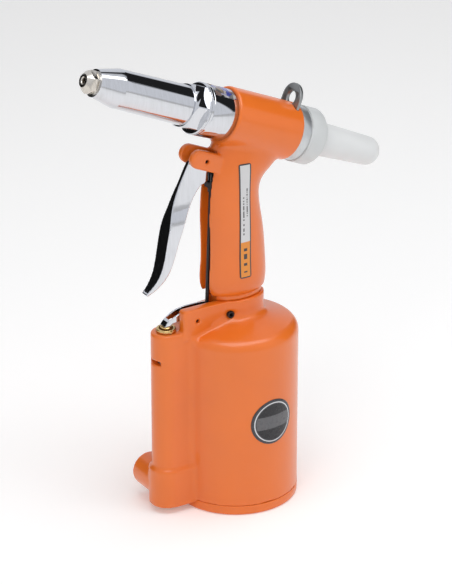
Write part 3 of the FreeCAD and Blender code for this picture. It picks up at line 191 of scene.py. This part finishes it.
room.links.new(math_node(room, "MULTIPLY_ADD", darkness, MIRRORED_DARK - MIRRORED_PALE, MIRRORED_PALE),
               mirrored_room.inputs["Strength"])
switch = room.nodes.new("ShaderNodeMixShader")
room.links.new(room.nodes.new("ShaderNodeLightPath").outputs["Is Glossy Ray"], switch.inputs["Fac"])
room.links.new(plain_room.outputs[0], switch.inputs[1])
room.links.new(mirrored_room.outputs[0], switch.inputs[2])
seen_room = room.nodes.new("ShaderNodeBackground")
seen_room.inputs["Color"].default_value = (1.0, 1.0, 1.0, 1)
seen_switch = room.nodes.new("ShaderNodeMixShader")
room.links.new(room.nodes.new("ShaderNodeLightPath").outputs["Is Camera Ray"], seen_switch.inputs["Fac"])
room.links.new(switch.outputs[0], seen_switch.inputs[1])
room.links.new(seen_room.outputs[0], seen_switch.inputs[2])
room.links.new(seen_switch.outputs[0], room.nodes.new("ShaderNodeOutputWorld").inputs["Surface"])


# ---- Air cylinder casting ---------------------------------------------------------------------
# Aluminium die casting in orange stove enamel: cylinder, valve tube, inlet stub and rocker cheek
# in one. The enamel has a faint orange-peel surface and every inner corner a soft casting radius.
def shader_group(name, inputs, outputs):
    """Empty shader node group with named sockets."""
    group = bpy.data.node_groups.new(name, "ShaderNodeTree")
    for label, kind, value in inputs:
        socket = group.interface.new_socket(name=label, in_out="INPUT", socket_type=kind)
        socket.default_value = value
    for label, kind in outputs:
        group.interface.new_socket(name=label, in_out="OUTPUT", socket_type=kind)
    return group, group.nodes.new("NodeGroupInput"), group.nodes.new("NodeGroupOutput")


def object_noise(tree, scale, detail=2.0, stretch=(1, 1, 1)):
    """Noise on the object's own coordinates, in cycles per metre."""
    coordinates = tree.nodes.new("ShaderNodeTexCoord").outputs["Object"]
    mapping = tree.nodes.new("ShaderNodeMapping")
    mapping.inputs["Scale"].default_value = stretch
    tree.links.new(coordinates, mapping.inputs["Vector"])
    noise = tree.nodes.new("ShaderNodeTexNoise")
    noise.inputs["Detail"].default_value = detail
    tree.links.new(mapping.outputs[0], noise.inputs["Vector"])
    if isinstance(scale, (int, float)):
        noise.inputs["Scale"].default_value = scale
    else:
        tree.links.new(scale, noise.inputs["Scale"])
    return noise.outputs["Fac"]


orange_peel, peel_in, peel_out = shader_group(
    "orange_peel", [("Grain", "NodeSocketFloat", 420.0), ("Depth", "NodeSocketFloat", 1.0)],
    [("Height", "NodeSocketFloat"), ("Blotch", "NodeSocketFloat")])
peel_fine = object_noise(orange_peel, peel_in.outputs["Grain"], 2.0)
peel_broad = object_noise(orange_peel, 26.0, 3.0)
orange_peel.links.new(math_node(orange_peel, "MULTIPLY", peel_fine, peel_in.outputs["Depth"]),
                      peel_out.inputs["Height"])
orange_peel.links.new(peel_broad, peel_out.inputs["Blotch"])

fine_scuffs, scuff_in, scuff_out = shader_group(
    "fine_scuffs", [("Amount", "NodeSocketFloat", 1.0), ("Grain", "NodeSocketFloat", 900.0)],
    [("Mask", "NodeSocketFloat")])
scuff_lines = object_noise(fine_scuffs, scuff_in.outputs["Grain"], 3.0, (1, 0.25, 0.12))
scuff_areas = object_noise(fine_scuffs, 45.0, 2.0)
scuff_depth = math_node(fine_scuffs, "SUBTRACT", scuff_lines, 0.4)
scuff_mask = math_node(fine_scuffs, "MULTIPLY", scuff_depth, scuff_areas)
fine_scuffs.links.new(math_node(fine_scuffs, "MULTIPLY", scuff_mask, scuff_in.outputs["Amount"]),
                      scuff_out.inputs["Mask"])


def place_group(tree, group, **values):
    """Shared effect placed in one material with its own values."""
    node = tree.nodes.new("ShaderNodeGroup")
    node.node_tree = group
    for label, value in values.items():
        node.inputs[label].default_value = value
    return node


def ramp(tree, value, stops):
    """Colour ramp through (position, colour) stops."""
    node = tree.nodes.new("ShaderNodeValToRGB")
    tree.links.new(value, node.inputs["Fac"])
    elements = node.color_ramp.elements
    while len(elements) < len(stops):
        elements.new(0.5)
    for element, (position, colour) in zip(elements, stops):
        element.position = position
        element.color = (*colour, 1)
    return node.outputs["Color"]


def grey_ramp(tree, value, low, high, start=0.0, end=1.0):
    """Value stretched from start..end onto low..high."""
    node = tree.nodes.new("ShaderNodeMapRange")
    tree.links.new(value, node.inputs["Value"])
    for label, number in (("From Min", start), ("From Max", end), ("To Min", low), ("To Max", high)):
        node.inputs[label].default_value = number
    return node.outputs["Result"]


def bump(tree, shader, height_socket, strength, distance):
    """Fine relief on a shader's normal."""
    node = tree.nodes.new("ShaderNodeBump")
    node.inputs["Strength"].default_value = strength
    node.inputs["Distance"].default_value = distance
    tree.links.new(height_socket, node.inputs["Height"])
    tree.links.new(node.outputs[0], shader.inputs["Normal"])


def new_material(name, **sockets):
    """Principled material with plain socket values; returns material, tree and shader."""
    material = bpy.data.materials.new(name)
    material.use_nodes = True
    tree = material.node_tree
    shader = tree.nodes["Principled BSDF"]
    for label, value in sockets.items():
        shader.inputs[label.replace("_", " ")].default_value = value
    return material, tree, shader


ORANGE = (0.78, 0.160, 0.010)
ORANGE_DEEP = (0.74, 0.148, 0.009)
enamel, tree, shader = new_material("orange_enamel", Coat_Weight=0.45, Coat_Roughness=0.08, Coat_IOR=1.5,
                                    Specular_IOR_Level=0.5)
peel = place_group(tree, orange_peel, Grain=420.0, Depth=1.0)
tree.links.new(ramp(tree, peel.outputs["Blotch"], [(0.3, ORANGE_DEEP), (0.7, ORANGE)]),
               shader.inputs["Base Color"])
tree.links.new(grey_ramp(tree, peel.outputs["Blotch"], 0.30, 0.40), shader.inputs["Roughness"])
bump(tree, shader, peel.outputs["Height"], 0.05, 0.0006)


def dress(node, material):
    """Give a CAD node's object one material."""
    piece = nodes[node]
    piece.data.materials.clear()
    piece.data.materials.append(material)


def merged_copy(node, name):
    """Copy of a CAD node with its loose triangles joined."""
    mesh = nodes[node].data.copy()
    mesh.name = name
    work = bmesh.new()
    work.from_mesh(mesh)
    bmesh.ops.remove_doubles(work, verts=work.verts, dist=1e-6)
    work.to_mesh(mesh)
    work.free()
    mesh.materials.clear()
    piece = bpy.data.objects.new(name, mesh)
    bpy.context.scene.collection.objects.link(piece)
    return piece


def applied(piece):
    """Turn a piece's modifiers into its mesh."""
    evaluated = piece.evaluated_get(bpy.context.evaluated_depsgraph_get())
    mesh = bpy.data.meshes.new_from_object(evaluated)
    piece.modifiers.clear()
    piece.data = mesh
    return piece


def relax(piece, rounds, weights=None, grow=True):
    """Smooth a dense mesh; weights pick where, and grow undoes the shrinking."""
    mesh = piece.data
    count = len(mesh.vertices)
    points = np.empty(count * 3)
    mesh.vertices.foreach_get("co", points)
    points = points.reshape(-1, 3)
    edges = np.empty(len(mesh.edges) * 2, dtype=np.int64)
    mesh.edges.foreach_get("vertices", edges)
    first, second = edges.reshape(-1, 2).T
    neighbours = np.bincount(first, minlength=count) + np.bincount(second, minlength=count)
    share = np.ones(count) if weights is None else weights(points)
    for _ in range(rounds):
        for step in ((0.6, -0.62) if grow else (0.6,)):
            total = np.stack([np.bincount(first, points[second, axis], count)
                              + np.bincount(second, points[first, axis], count) for axis in range(3)], axis=1)
            points += (total / neighbours[:, None] - points) * (share * step)[:, None]
    mesh.vertices.foreach_set("co", points.ravel())
    mesh.update()


def cast_skin(node, name, voxel, rounds):
    """Dense copy of a casting with its corners rounded as the mould leaves them."""
    piece = merged_copy(node, name)
    remesh = piece.modifiers.new("remesh", "REMESH")
    remesh.mode = "VOXEL"
    remesh.voxel_size = voxel
    applied(piece)
    relax(piece, rounds)
    return piece


def smoothstep(value, start, end):
    """0 before start, 1 after end, with a soft rise between."""
    share = np.clip((value - start) / (end - start), 0, 1)
    return share * share * (3 - 2 * share)


def fit_piece(piece, material, body, slot, *replaced):
    """Give a finished piece its material and body, and hide the CAD nodes it stands for; the slot is not used.
    """
    piece.data.materials.clear()
    piece.data.materials.append(material)
    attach(piece, body)
    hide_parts(*replaced)


def fit_casting(piece, material, body, slot, *replaced):
    """Fit a dense rounded piece, shaded smooth all over."""
    piece.data.shade_smooth()
    fit_piece(piece, material, body, slot, *replaced)


cylinder = cast_skin("air_cylinder", "air_cylinder_casting", 1.0 * MM, 6)
WALL_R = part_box("air_cylinder")[1].y
FILLET_REACH = 5.0 * MM
DOME_FOOT = (0.126, 0.131)
PAD_EDGE = (0.1445, 0.1475)
PAD_FOOT_R = 0.0225
ROCKER_GAP = (5.5 * MM, 7.5 * MM)
CHEEK_REAR = (-0.030, -0.024)


def cylinder_corners(points):
    """Where the dome meets the handle pad, clear of the gap the rocker moves in."""
    radius = np.hypot(points[:, 0], points[:, 1])
    above_dome_foot = smoothstep(points[:, 2], *DOME_FOOT)
    below_pad = 1 - smoothstep(points[:, 2], *PAD_EDGE)
    near_pad = 1 - smoothstep(np.abs(radius - PAD_FOOT_R), FILLET_REACH, 1.6 * FILLET_REACH)
    beside_rocker = smoothstep(np.abs(points[:, 1]), *ROCKER_GAP)
    behind_cheek = smoothstep(points[:, 0], *CHEEK_REAR)
    return above_dome_foot * below_pad * near_pad * np.maximum(beside_rocker, behind_cheek) * 0.9


relax(cylinder, 30, cylinder_corners, grow=False)
thinning = cylinder.modifiers.new("thinning", "DECIMATE")
thinning.ratio = 0.88
applied(cylinder)

# The exhaust slot is milled after casting, so its edges stay sharp.
SLOT_HEIGHT = 0.1156
SLOT_HALF = Vector((6.5 * MM, 6.4 * MM, 1.5 * MM))
SLOT_AHEAD = 6.0 * MM
valve_axis_x = (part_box("valve_nut")[0].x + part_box("valve_nut")[1].x) / 2
cutter_mesh = bpy.data.meshes.new("slot_cutter")
slot_edit = bmesh.new()
bmesh.ops.create_cube(slot_edit, size=2.0)
for corner in slot_edit.verts:
    corner.co = Vector((valve_axis_x - SLOT_AHEAD, 0, SLOT_HEIGHT)) + corner.co * SLOT_HALF
slot_edit.to_mesh(cutter_mesh)
slot_edit.free()
cutter = bpy.data.objects.new("slot_cutter", cutter_mesh)
bpy.context.scene.collection.objects.link(cutter)
milling = cylinder.modifiers.new("milling", "BOOLEAN")
milling.operation = "DIFFERENCE"
milling.solver = "EXACT"
milling.object = cutter
applied(cylinder)
bpy.data.objects.remove(cutter)
fit_casting(cylinder, enamel, "frame", "orange_paint", "air_cylinder")


# ---- Base cap ---------------------------------------------------------------------------------
# Screwed-in bottom lid in the same enamel; a thin dark joint shows above its rim.
def trimmed(node, name, angle=32, bevel=0.0, segments=2):
    """Merged copy of a turned or bent piece with crisp edges slightly broken."""
    piece = merged_copy(node, name)
    work = bmesh.new()
    work.from_mesh(piece.data)
    bmesh.ops.dissolve_limit(work, angle_limit=math.radians(0.4), verts=work.verts, edges=work.edges)
    work.to_mesh(piece.data)
    work.free()
    if bevel:
        edge = piece.modifiers.new("edge", "BEVEL")
        edge.width = bevel
        edge.segments = segments
        edge.limit_method = "ANGLE"
        edge.angle_limit = math.radians(angle)
        edge.harden_normals = True
        applied(piece)
    piece.data.shade_smooth()
    piece.data.set_sharp_from_angle(angle=math.radians(angle))
    return piece


fit_piece(trimmed("base_cap", "base_lid", bevel=0.25 * MM), enamel, "frame", "orange_paint", "base_cap")

# ---- Handle and head casting ------------------------------------------------------------------
# Second casting in orange enamel: grip, head housing and trigger ears flow into each other with
# wide radii, so the dense copy is relaxed most where the grip runs into the housing.
handle = cast_skin("head_handle", "head_casting", 0.7 * MM, 9)
HEAD_TILT = math.radians(23)
HEAD_HEIGHT = 0.2823
HEAD_R = 0.0203
# Station of each end of the housing, the way inwards, its corner radius, and the radius inside
# which it steps back behind the neighbouring ring.
HOUSING_RIMS = ((-0.0118, 1, 1.5 * MM, 0.0182), (0.0441, -1, 0.7 * MM, 0.0194))


def from_head_axis(points):
    """Each point's station along the tilted head axis and its height above that axis."""
    along = points[:, 0] * math.cos(HEAD_TILT) - (points[:, 2] - HEAD_HEIGHT) * math.sin(HEAD_TILT)
    above = points[:, 0] * math.sin(HEAD_TILT) + (points[:, 2] - HEAD_HEIGHT) * math.cos(HEAD_TILT)
    return along, above


def housing_corner(points):
    """Around the line where the grip runs into the head housing."""
    along, above = from_head_axis(points)
    away = np.hypot(points[:, 1], above)
    near = 1 - smoothstep(np.abs(away - HEAD_R), 4.5 * MM, 8.0 * MM)
    outer = smoothstep(away, 18.2 * MM, 19.2 * MM)
    below = 1 - smoothstep(above, -0.011, -0.007)
    within = smoothstep(along, -0.0105, -0.008) * (1 - smoothstep(along, 0.037, 0.041))
    return near * outer * below * within * 0.95


def round_rims(piece):
    """Make the housing's two rims true circles with an even corner radius."""
    points = np.empty(len(piece.data.vertices) * 3)
    piece.data.vertices.foreach_get("co", points)
    points = points.reshape(-1, 3)
    along, above = from_head_axis(points)
    away = np.hypot(points[:, 1], above)
    for end, inwards, corner, step in HOUSING_RIMS:
        depth = (along - end) * inwards
        clear = smoothstep(above, -0.015, -0.011) * (np.abs(depth) < corner) * (away < HEAD_R + 0.8 * MM)
        over = np.stack([corner - depth, away - (HEAD_R - corner)], axis=1)
        reach = np.maximum(np.linalg.norm(over, axis=1), 1e-6)
        on_corner = (over[:, 0] > 0) & (over[:, 1] > 0)
        new_depth = np.where(on_corner, corner - over[:, 0] / reach * corner,
                             np.where(away < step, 0.3 * MM, 0.0))
        new_away = np.where(on_corner, HEAD_R - corner + over[:, 1] / reach * corner, away)
        share = np.where(on_corner | (np.abs(depth) < 0.5 * MM), clear, 0.0)
        depth += (new_depth - depth) * share
        scale = 1 + (new_away / np.maximum(away, 1e-6) - 1) * share
        along = end + depth * inwards
        above *= scale
        points[:, 1] *= scale
        away *= scale
    points[:, 0] = along * math.cos(HEAD_TILT) + above * math.sin(HEAD_TILT)
    points[:, 2] = HEAD_HEIGHT - along * math.sin(HEAD_TILT) + above * math.cos(HEAD_TILT)
    piece.data.vertices.foreach_set("co", points.ravel())
    piece.data.update()


relax(handle, 60, housing_corner, grow=False)
round_rims(handle)
fit_casting(handle, enamel, "frame", "orange_paint", "head_handle")

# ---- Front end: collar, barrel and nosepiece --------------------------------------------------
# Turned steel in bright chrome with hair-fine polishing marks; the nosepiece is satin nickel.
def scuffed_metal(name, grain, clean, worn, smooth, rough, relief, depth=0.0002, **sockets):
    """Metal whose colour, gloss and relief follow its fine polishing marks."""
    material, tree, shader = new_material(name, **sockets)
    scuffs = place_group(tree, fine_scuffs, Amount=1.0, Grain=grain)
    tree.links.new(ramp(tree, scuffs.outputs["Mask"], [(0.0, clean), (0.3, worn)]), shader.inputs["Base Color"])
    tree.links.new(grey_ramp(tree, scuffs.outputs["Mask"], smooth, rough, 0.0, 0.2), shader.inputs["Roughness"])
    if relief:
        bump(tree, shader, scuffs.outputs["Mask"], relief, depth)
    return material


chrome = scuffed_metal("bright_chrome", 700.0, (0.66, 0.67, 0.70), (0.58, 0.59, 0.61), 0.045, 0.10, 0.012,
                       Metallic=1.0, Specular_IOR_Level=0.6)
nickel = scuffed_metal("satin_nickel", 1200.0, (0.66, 0.62, 0.56), (0.50, 0.47, 0.43), 0.16, 0.34, 0.08,
                       Metallic=1.0)


COLLAR_CORNERS = [(-32.4, 12.95), (-32.4, 17.4), (-31.8, 18.0), (-11.85, 18.0), (-11.85, 15.95), (-7.5, 15.95),
                  (-7.5, 8.1), (-20.0, 8.1), (-20.0, 12.95)]


def turned(name, corners, edge_width, spokes=200):
    """Piece turned about the head axis from its (station, radius) corners in millimetres."""
    mesh_edit = bmesh.new()
    rings = []
    for spoke in range(spokes):
        a = 2 * math.pi * spoke / spokes
        rings.append([])
        for station, radius in corners:
            above = radius * MM * math.sin(a)
            place = (station * MM * math.cos(HEAD_TILT) + above * math.sin(HEAD_TILT), radius * MM * math.cos(a),
                     HEAD_HEIGHT - station * MM * math.sin(HEAD_TILT) + above * math.cos(HEAD_TILT))
            rings[-1].append(mesh_edit.verts.new(place))
    for spoke in range(spokes):
        first, second = rings[spoke - 1], rings[spoke]
        for i in range(len(corners)):
            mesh_edit.faces.new((first[i - 1], first[i], second[i], second[i - 1]))
    bmesh.ops.recalc_face_normals(mesh_edit, faces=mesh_edit.faces)
    mesh = bpy.data.meshes.new(name)
    mesh_edit.to_mesh(mesh)
    mesh_edit.free()
    piece = bpy.data.objects.new(name, mesh)
    bpy.context.scene.collection.objects.link(piece)
    edge = piece.modifiers.new("edge", "BEVEL")
    edge.width = edge_width
    edge.segments = 3
    edge.limit_method = "ANGLE"
    edge.angle_limit = math.radians(20)
    edge.harden_normals = True
    applied(piece)
    piece.data.shade_smooth()
    piece.data.set_sharp_from_angle(angle=math.radians(32))
    return piece


fit_piece(turned("chrome_collar", COLLAR_CORNERS, 0.15 * MM), chrome, "frame", "polished_chrome", "front_collar")
fit_piece(trimmed("nose_barrel", "chrome_barrel", angle=11, bevel=0.1 * MM), chrome, "frame", "polished_chrome",
          "nose_barrel")
fit_piece(trimmed("nosepiece", "nickel_nosepiece", bevel=0.2 * MM), nickel, "frame", "nickel", "nosepiece")

# ---- Tail: ring, cap, collector bottle and hook -----------------------------------------------
# Plain turned aluminium ring, moulded grey cap, milky bottle for the broken mandrels, and a
# punched steel eye for the balancer.
def moulded(name, grain, dark, light, smooth, rough, relief, depth=0.0003, **sockets):
    """Moulded plastic or rubber with a faintly uneven skin."""
    material, tree, shader = new_material(name, **sockets)
    peel = place_group(tree, orange_peel, Grain=grain, Depth=1.0)
    tree.links.new(ramp(tree, peel.outputs["Blotch"], [(0.3, dark), (0.7, light)]), shader.inputs["Base Color"])
    tree.links.new(grey_ramp(tree, peel.outputs["Height"], smooth, rough), shader.inputs["Roughness"])
    if relief:
        bump(tree, shader, peel.outputs["Height"], relief, depth)
    return material


aluminium = scuffed_metal("turned_aluminium", 1500.0, (0.60, 0.62, 0.63), (0.50, 0.52, 0.53), 0.32, 0.5, 0.1,
                          Metallic=0.85)
moulded_grey = moulded("moulded_grey", 1400.0, (0.56, 0.58, 0.585), (0.61, 0.63, 0.635), 0.30, 0.44, 0.12,
                       Specular_IOR_Level=0.5)
milky = moulded("milky_polyethylene", 160.0, (0.66, 0.675, 0.68), (0.71, 0.72, 0.725), 0.30, 0.42, 0.05,
                depth=0.0005, Specular_IOR_Level=0.45, Subsurface_Weight=0.25,
                Subsurface_Radius=(0.004, 0.004, 0.004))
hook_steel = scuffed_metal("hook_steel", 600.0, (0.30, 0.31, 0.31), (0.42, 0.43, 0.43), 0.3, 0.5, 0.15,
                           depth=0.0003, Metallic=0.9)

fit_piece(trimmed("tail_ring", "aluminium_ring", bevel=0.15 * MM), aluminium, "frame", "plain_aluminium",
          "tail_ring")
fit_piece(trimmed("tail_cap", "grey_cap", bevel=0.4 * MM, segments=3), moulded_grey, "frame", "grey_plastic",
          "tail_cap")
fit_piece(trimmed("collector_bottle", "milky_bottle"), milky, "bottle", "clear_bottle", "collector_bottle")
fit_piece(trimmed("hook_plate", "steel_hook", bevel=0.4 * MM, segments=3), hook_steel, "frame", "machined_steel",
          "hook_plate")

# ---- Trigger gear -----------------------------------------------------------------------------
# Lever and rocker are pressed from sheet and chromed. The pull rod, its clevis, the two pivot pins
# and the lock screw are blackened steel; the rod's own pins are bare ground steel.
lever = cast_skin("trigger_lever", "chrome_trigger", 0.42 * MM, 10)
fit_casting(lever, chrome, "trigger", "polished_chrome", "trigger_lever")
rocker = cast_skin("rocker_lever", "chrome_rocker", 0.3 * MM, 8)
fit_casting(rocker, chrome, "rocker", "polished_chrome", "rocker_lever")

blackened = scuffed_metal("blackened_steel", 900.0, (0.022, 0.022, 0.024), (0.07, 0.07, 0.075), 0.28, 0.5, 0.1,
                          Metallic=0.6)
for node in ("pull_rod", "rod_clevis", "handle_lock_screw", "trigger_pin", "rocker_pin"):
    dress(node, blackened)

# The inner pieces of the air piston, the draw gear and the valve are bare metal too.
ground_steel = scuffed_metal("ground_steel", 1100.0, (0.52, 0.52, 0.54), (0.42, 0.42, 0.44), 0.2, 0.4, 0.1,
                             Metallic=1.0)
for node in ("rod_top_pin", "rod_foot_pin", "trigger_washers", "oil_screw", "ram_guide",
             "hydraulic_ram", "air_piston_nut", "pulling_piston", "jaw_case", "mandrel_tube", "jaw_pusher",
             "jaw_1", "jaw_2", "jaw_3", "return_spring", "jaw_spring", "valve_spring"):
    dress(node, ground_steel)
for node in ("air_piston", "valve_sleeve"):
    dress(node, aluminium)

# ---- Valve ------------------------------------------------------------------------------------
# Turned brass: the slotted gland nut on the valve tube, the stem the rocker presses, the bottom
# plug and the strainer disc in the inlet.
brass = scuffed_metal("turned_brass", 1000.0, (0.66, 0.46, 0.20), (0.48, 0.32, 0.13), 0.2, 0.38, 0.1,
                      Metallic=1.0)
fit_piece(trimmed("valve_nut", "brass_gland_nut", bevel=0.15 * MM), brass, "frame", "brass", "valve_nut")
for node in ("valve_stem", "valve_plug", "inlet_strainer"):
    dress(node, brass)

# ---- Seals and washers ------------------------------------------------------------------------
# Nitrile rings and the copper washer under the oil screw.
nitrile = moulded("nitrile_rubber", 1600.0, (0.018, 0.018, 0.018), (0.03, 0.03, 0.03), 0.5, 0.7, 0,
                  Specular_IOR_Level=0.35)
for node in ("base_cap_oring", "ram_seal", "stroke_bumper", "collar_oring", "draw_rod_seal", "air_piston_seal",
             "pulling_piston_seal"):
    dress(node, nitrile)
copper = scuffed_metal("soft_copper", 1000.0, (0.70, 0.32, 0.18), (0.5, 0.22, 0.13), 0.3, 0.5, 0, Metallic=1.0)
dress("oil_screw_washer", copper)

# ---- Badge ------------------------------------------------------------------------------------
# Domed resin disc on the cylinder's wall: black, with a thin silver ring and a paler plain band
# across the middle where a maker would put a name.
BADGE_R = 16.9 * MM
BADGE_TURN = math.radians(4.5)
BADGE_EDGE = 0.6 * MM
BADGE_DOME = 1.05 * MM
BADGE_FOOT = 0.05 * MM
SILVER_RING = (0.845, 0.89)
PRINTED_R = 0.80
BAND = (-0.27, 0.30)
badge_height = (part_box("badge")[0].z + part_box("badge")[1].z) / 2
RINGS = 26
SPOKES = 96


def on_wall(across, upwards, proud):
    """Point over the cylinder's wall: across and upwards from the badge's centre."""
    radius = WALL_R + proud
    place = Vector((across, -math.sqrt(radius ** 2 - across ** 2), badge_height + upwards))
    return Matrix.Rotation(BADGE_TURN, 3, "Z") @ place


def badge_ring(share, proud):
    """Ring of the disc at a share of its radius."""
    turns = [2 * math.pi * k / SPOKES for k in range(SPOKES)]
    return [badge_mesh.verts.new(on_wall(BADGE_R * share * math.cos(a), BADGE_R * share * math.sin(a), proud))
            for a in turns]


badge_mesh = bmesh.new()
badge_uv = badge_mesh.loops.layers.uv.new("disc")
levels = [[badge_mesh.verts.new(on_wall(0, 0, BADGE_DOME))]]
for ring in range(1, RINGS):
    dome_share = ring / RINGS
    levels.append(badge_ring(dome_share, BADGE_EDGE + (BADGE_DOME - BADGE_EDGE) * (1 - dome_share ** 2)))
levels.append(badge_ring(1.0, BADGE_EDGE * 0.6))
levels.append(badge_ring(1.0, BADGE_FOOT))
for k in range(SPOKES):
    following = (k + 1) % SPOKES
    badge_mesh.faces.new((levels[0][0], levels[1][k], levels[1][following]))
    for inner, outer in zip(levels[1:], levels[2:]):
        badge_mesh.faces.new((inner[k], outer[k], outer[following], inner[following]))
badge_mesh.faces.new(list(reversed(levels[-1])))
unturn = Matrix.Rotation(-BADGE_TURN, 3, "Z")
for face in badge_mesh.faces:
    for loop in face.loops:
        flat = unturn @ loop.vert.co
        loop[badge_uv].uv = (flat.x / BADGE_R, (flat.z - badge_height) / BADGE_R)
bmesh.ops.recalc_face_normals(badge_mesh, faces=badge_mesh.faces)
mesh = bpy.data.meshes.new("resin_badge")
badge_mesh.to_mesh(mesh)
badge_mesh.free()
mesh.shade_smooth()
resin_badge = bpy.data.objects.new("resin_badge", mesh)
bpy.context.scene.collection.objects.link(resin_badge)

resin, tree, shader = new_material("badge_resin", Coat_Weight=0.25, Coat_Roughness=0.08, Specular_IOR_Level=0.25)
disc = tree.nodes.new("ShaderNodeUVMap")
disc.uv_map = "disc"
split = tree.nodes.new("ShaderNodeSeparateXYZ")
tree.links.new(disc.outputs[0], split.inputs[0])
length = tree.nodes.new("ShaderNodeVectorMath")
length.operation = "LENGTH"
tree.links.new(disc.outputs[0], length.inputs[0])
silver_ring = soft_window(tree, length.outputs["Value"], *SILVER_RING, 0.008)
inside = soft_window(tree, length.outputs["Value"], -1.0, PRINTED_R, 0.006)
band = math_node(tree, "MULTIPLY", soft_window(tree, split.outputs["Y"], *BAND, 0.01), inside)
fields = math_node(tree, "SUBTRACT", inside, band)


def mix_colour(tree, factor, first, second):
    """Second colour over the first where the factor is 1; colours are tuples or sockets."""
    node = tree.nodes.new("ShaderNodeMix")
    node.data_type = "RGBA"
    tree.links.new(factor, node.inputs["Factor"])
    for socket, colour in ((node.inputs["A"], first), (node.inputs["B"], second)):
        if isinstance(colour, tuple):
            socket.default_value = (*colour, 1)
        else:
            tree.links.new(colour, socket)
    return node.outputs["Result"]


badge_colour = mix_colour(tree, fields, (0.050, 0.050, 0.056), (0.022, 0.022, 0.025))
badge_colour = mix_colour(tree, band, badge_colour, (0.115, 0.115, 0.122))
badge_colour = mix_colour(tree, silver_ring, badge_colour, (0.62, 0.63, 0.65))
tree.links.new(badge_colour, shader.inputs["Base Color"])
tree.links.new(math_node(tree, "MULTIPLY", silver_ring, 0.8), shader.inputs["Metallic"])
tree.links.new(grey_ramp(tree, object_noise(tree, 300.0), 0.22, 0.34), shader.inputs["Roughness"])
fit_piece(resin_badge, resin, "frame", "badge_black", "badge")

# ---- Rating label -----------------------------------------------------------------------------
# Printed foil strip down the grip: black border, silver field with rows of plain dashes in place
# of the maker's data, and an orange foot.
label_low, label_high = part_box("rating_label")
BORDER = 0.9 * MM
ORANGE_FOOT = 0.0267
foil, tree, shader = new_material("printed_foil", Coat_Weight=0.4, Coat_Roughness=0.15)
coordinates = tree.nodes.new("ShaderNodeTexCoord").outputs["Object"]
split = tree.nodes.new("ShaderNodeSeparateXYZ")
tree.links.new(coordinates, split.inputs[0])
across, upwards = split.outputs["X"], split.outputs["Z"]
field = math_node(tree, "MULTIPLY",
                  soft_window(tree, across, label_low.x + BORDER, label_high.x - BORDER, 0.05 * MM),
                  soft_window(tree, upwards, label_low.z + BORDER, label_high.z - BORDER, 0.05 * MM))
foot = soft_window(tree, upwards, 0.0, label_low.z + ORANGE_FOOT, 0.1 * MM)
label_colour = mix_colour(tree, foot, (0.60, 0.60, 0.61), (0.72, 0.25, 0.03))


def dashes(tree, low, high, column, width, pitch, grain):
    """Rows of short print marks up the strip between two heights, in one column."""
    marks = tree.nodes.new("ShaderNodeTexNoise")
    marks.inputs["Scale"].default_value = 1.0
    marks.inputs["Detail"].default_value = 0.0
    cells = tree.nodes.new("ShaderNodeCombineXYZ")
    tree.links.new(math_node(tree, "MULTIPLY", upwards, grain), cells.inputs["X"])
    cells.inputs["Y"].default_value = column * 5000.0
    tree.links.new(cells.outputs[0], marks.inputs["Vector"])
    stripes = math_node(tree, "GREATER_THAN", marks.outputs["Fac"], 0.47)
    lines = math_node(tree, "PINGPONG", math_node(tree, "SUBTRACT", across, column), pitch)
    rows = math_node(tree, "LESS_THAN", lines, pitch * 0.45)
    place = math_node(tree, "MULTIPLY", soft_window(tree, across, column - width, column + width, 0.02 * MM),
                      soft_window(tree, upwards, low, high, 0.05 * MM))
    return math_node(tree, "MULTIPLY", place, math_node(tree, "MULTIPLY", stripes, rows))


middle = (label_low.x + label_high.x) / 2
COLUMN_HALF = 0.6 * MM
COLUMN_PITCH = 1.2 * MM
long_column = dashes(tree, label_low.z + 0.045, label_high.z - 0.018, middle + 1.5 * MM,
                     COLUMN_HALF, COLUMN_PITCH, 900.0)
short_column = dashes(tree, label_low.z + 0.032, label_high.z - 0.024, middle - 1.4 * MM,
                      COLUMN_HALF, COLUMN_PITCH, 700.0)
print_marks = math_node(tree, "MAXIMUM", long_column, short_column)
foot_marks = dashes(tree, label_low.z + 0.004, label_low.z + 0.022, middle, 1.5 * MM, 3.0 * MM, 420.0)
label_colour = mix_colour(tree, print_marks, label_colour, (0.12, 0.12, 0.125))
label_colour = mix_colour(tree, foot_marks, label_colour, (0.05, 0.045, 0.04))
tree.links.new(mix_colour(tree, field, (0.028, 0.028, 0.03), label_colour), shader.inputs["Base Color"])
tree.links.new(grey_ramp(tree, object_noise(tree, 260.0), 0.28, 0.40), shader.inputs["Roughness"])
tree.links.new(math_node(tree, "MULTIPLY", field, 0.35), shader.inputs["Metallic"])
dress("rating_label", foil)

# ---- Seal label -------------------------------------------------------------------------------
# Security foil wrapped over the collar: a plain pattern of gold, blue and white patches.
seal_foil, tree, shader = new_material("seal_foil", Metallic=0.35, Coat_Weight=0.5, Coat_Roughness=0.1)
patches = tree.nodes.new("ShaderNodeTexVoronoi")
patches.inputs["Scale"].default_value = 230.0
tree.links.new(tree.nodes.new("ShaderNodeTexCoord").outputs["Object"], patches.inputs["Vector"])
hue = tree.nodes.new("ShaderNodeSeparateColor")
tree.links.new(patches.outputs["Color"], hue.inputs[0])
seal_colours = [(0.0, (0.70, 0.70, 0.74)), (0.28, (0.30, 0.20, 0.08)), (0.48, (0.08, 0.10, 0.42)),
                (0.66, (0.74, 0.72, 0.74)), (0.86, (0.03, 0.03, 0.04))]
seal_colour = ramp(tree, hue.outputs["Red"], seal_colours)
tree.links.new(seal_colour, shader.inputs["Base Color"])
tree.links.new(grey_ramp(tree, object_noise(tree, 500.0), 0.2, 0.35), shader.inputs["Roughness"])
dress("seal_label", seal_foil)
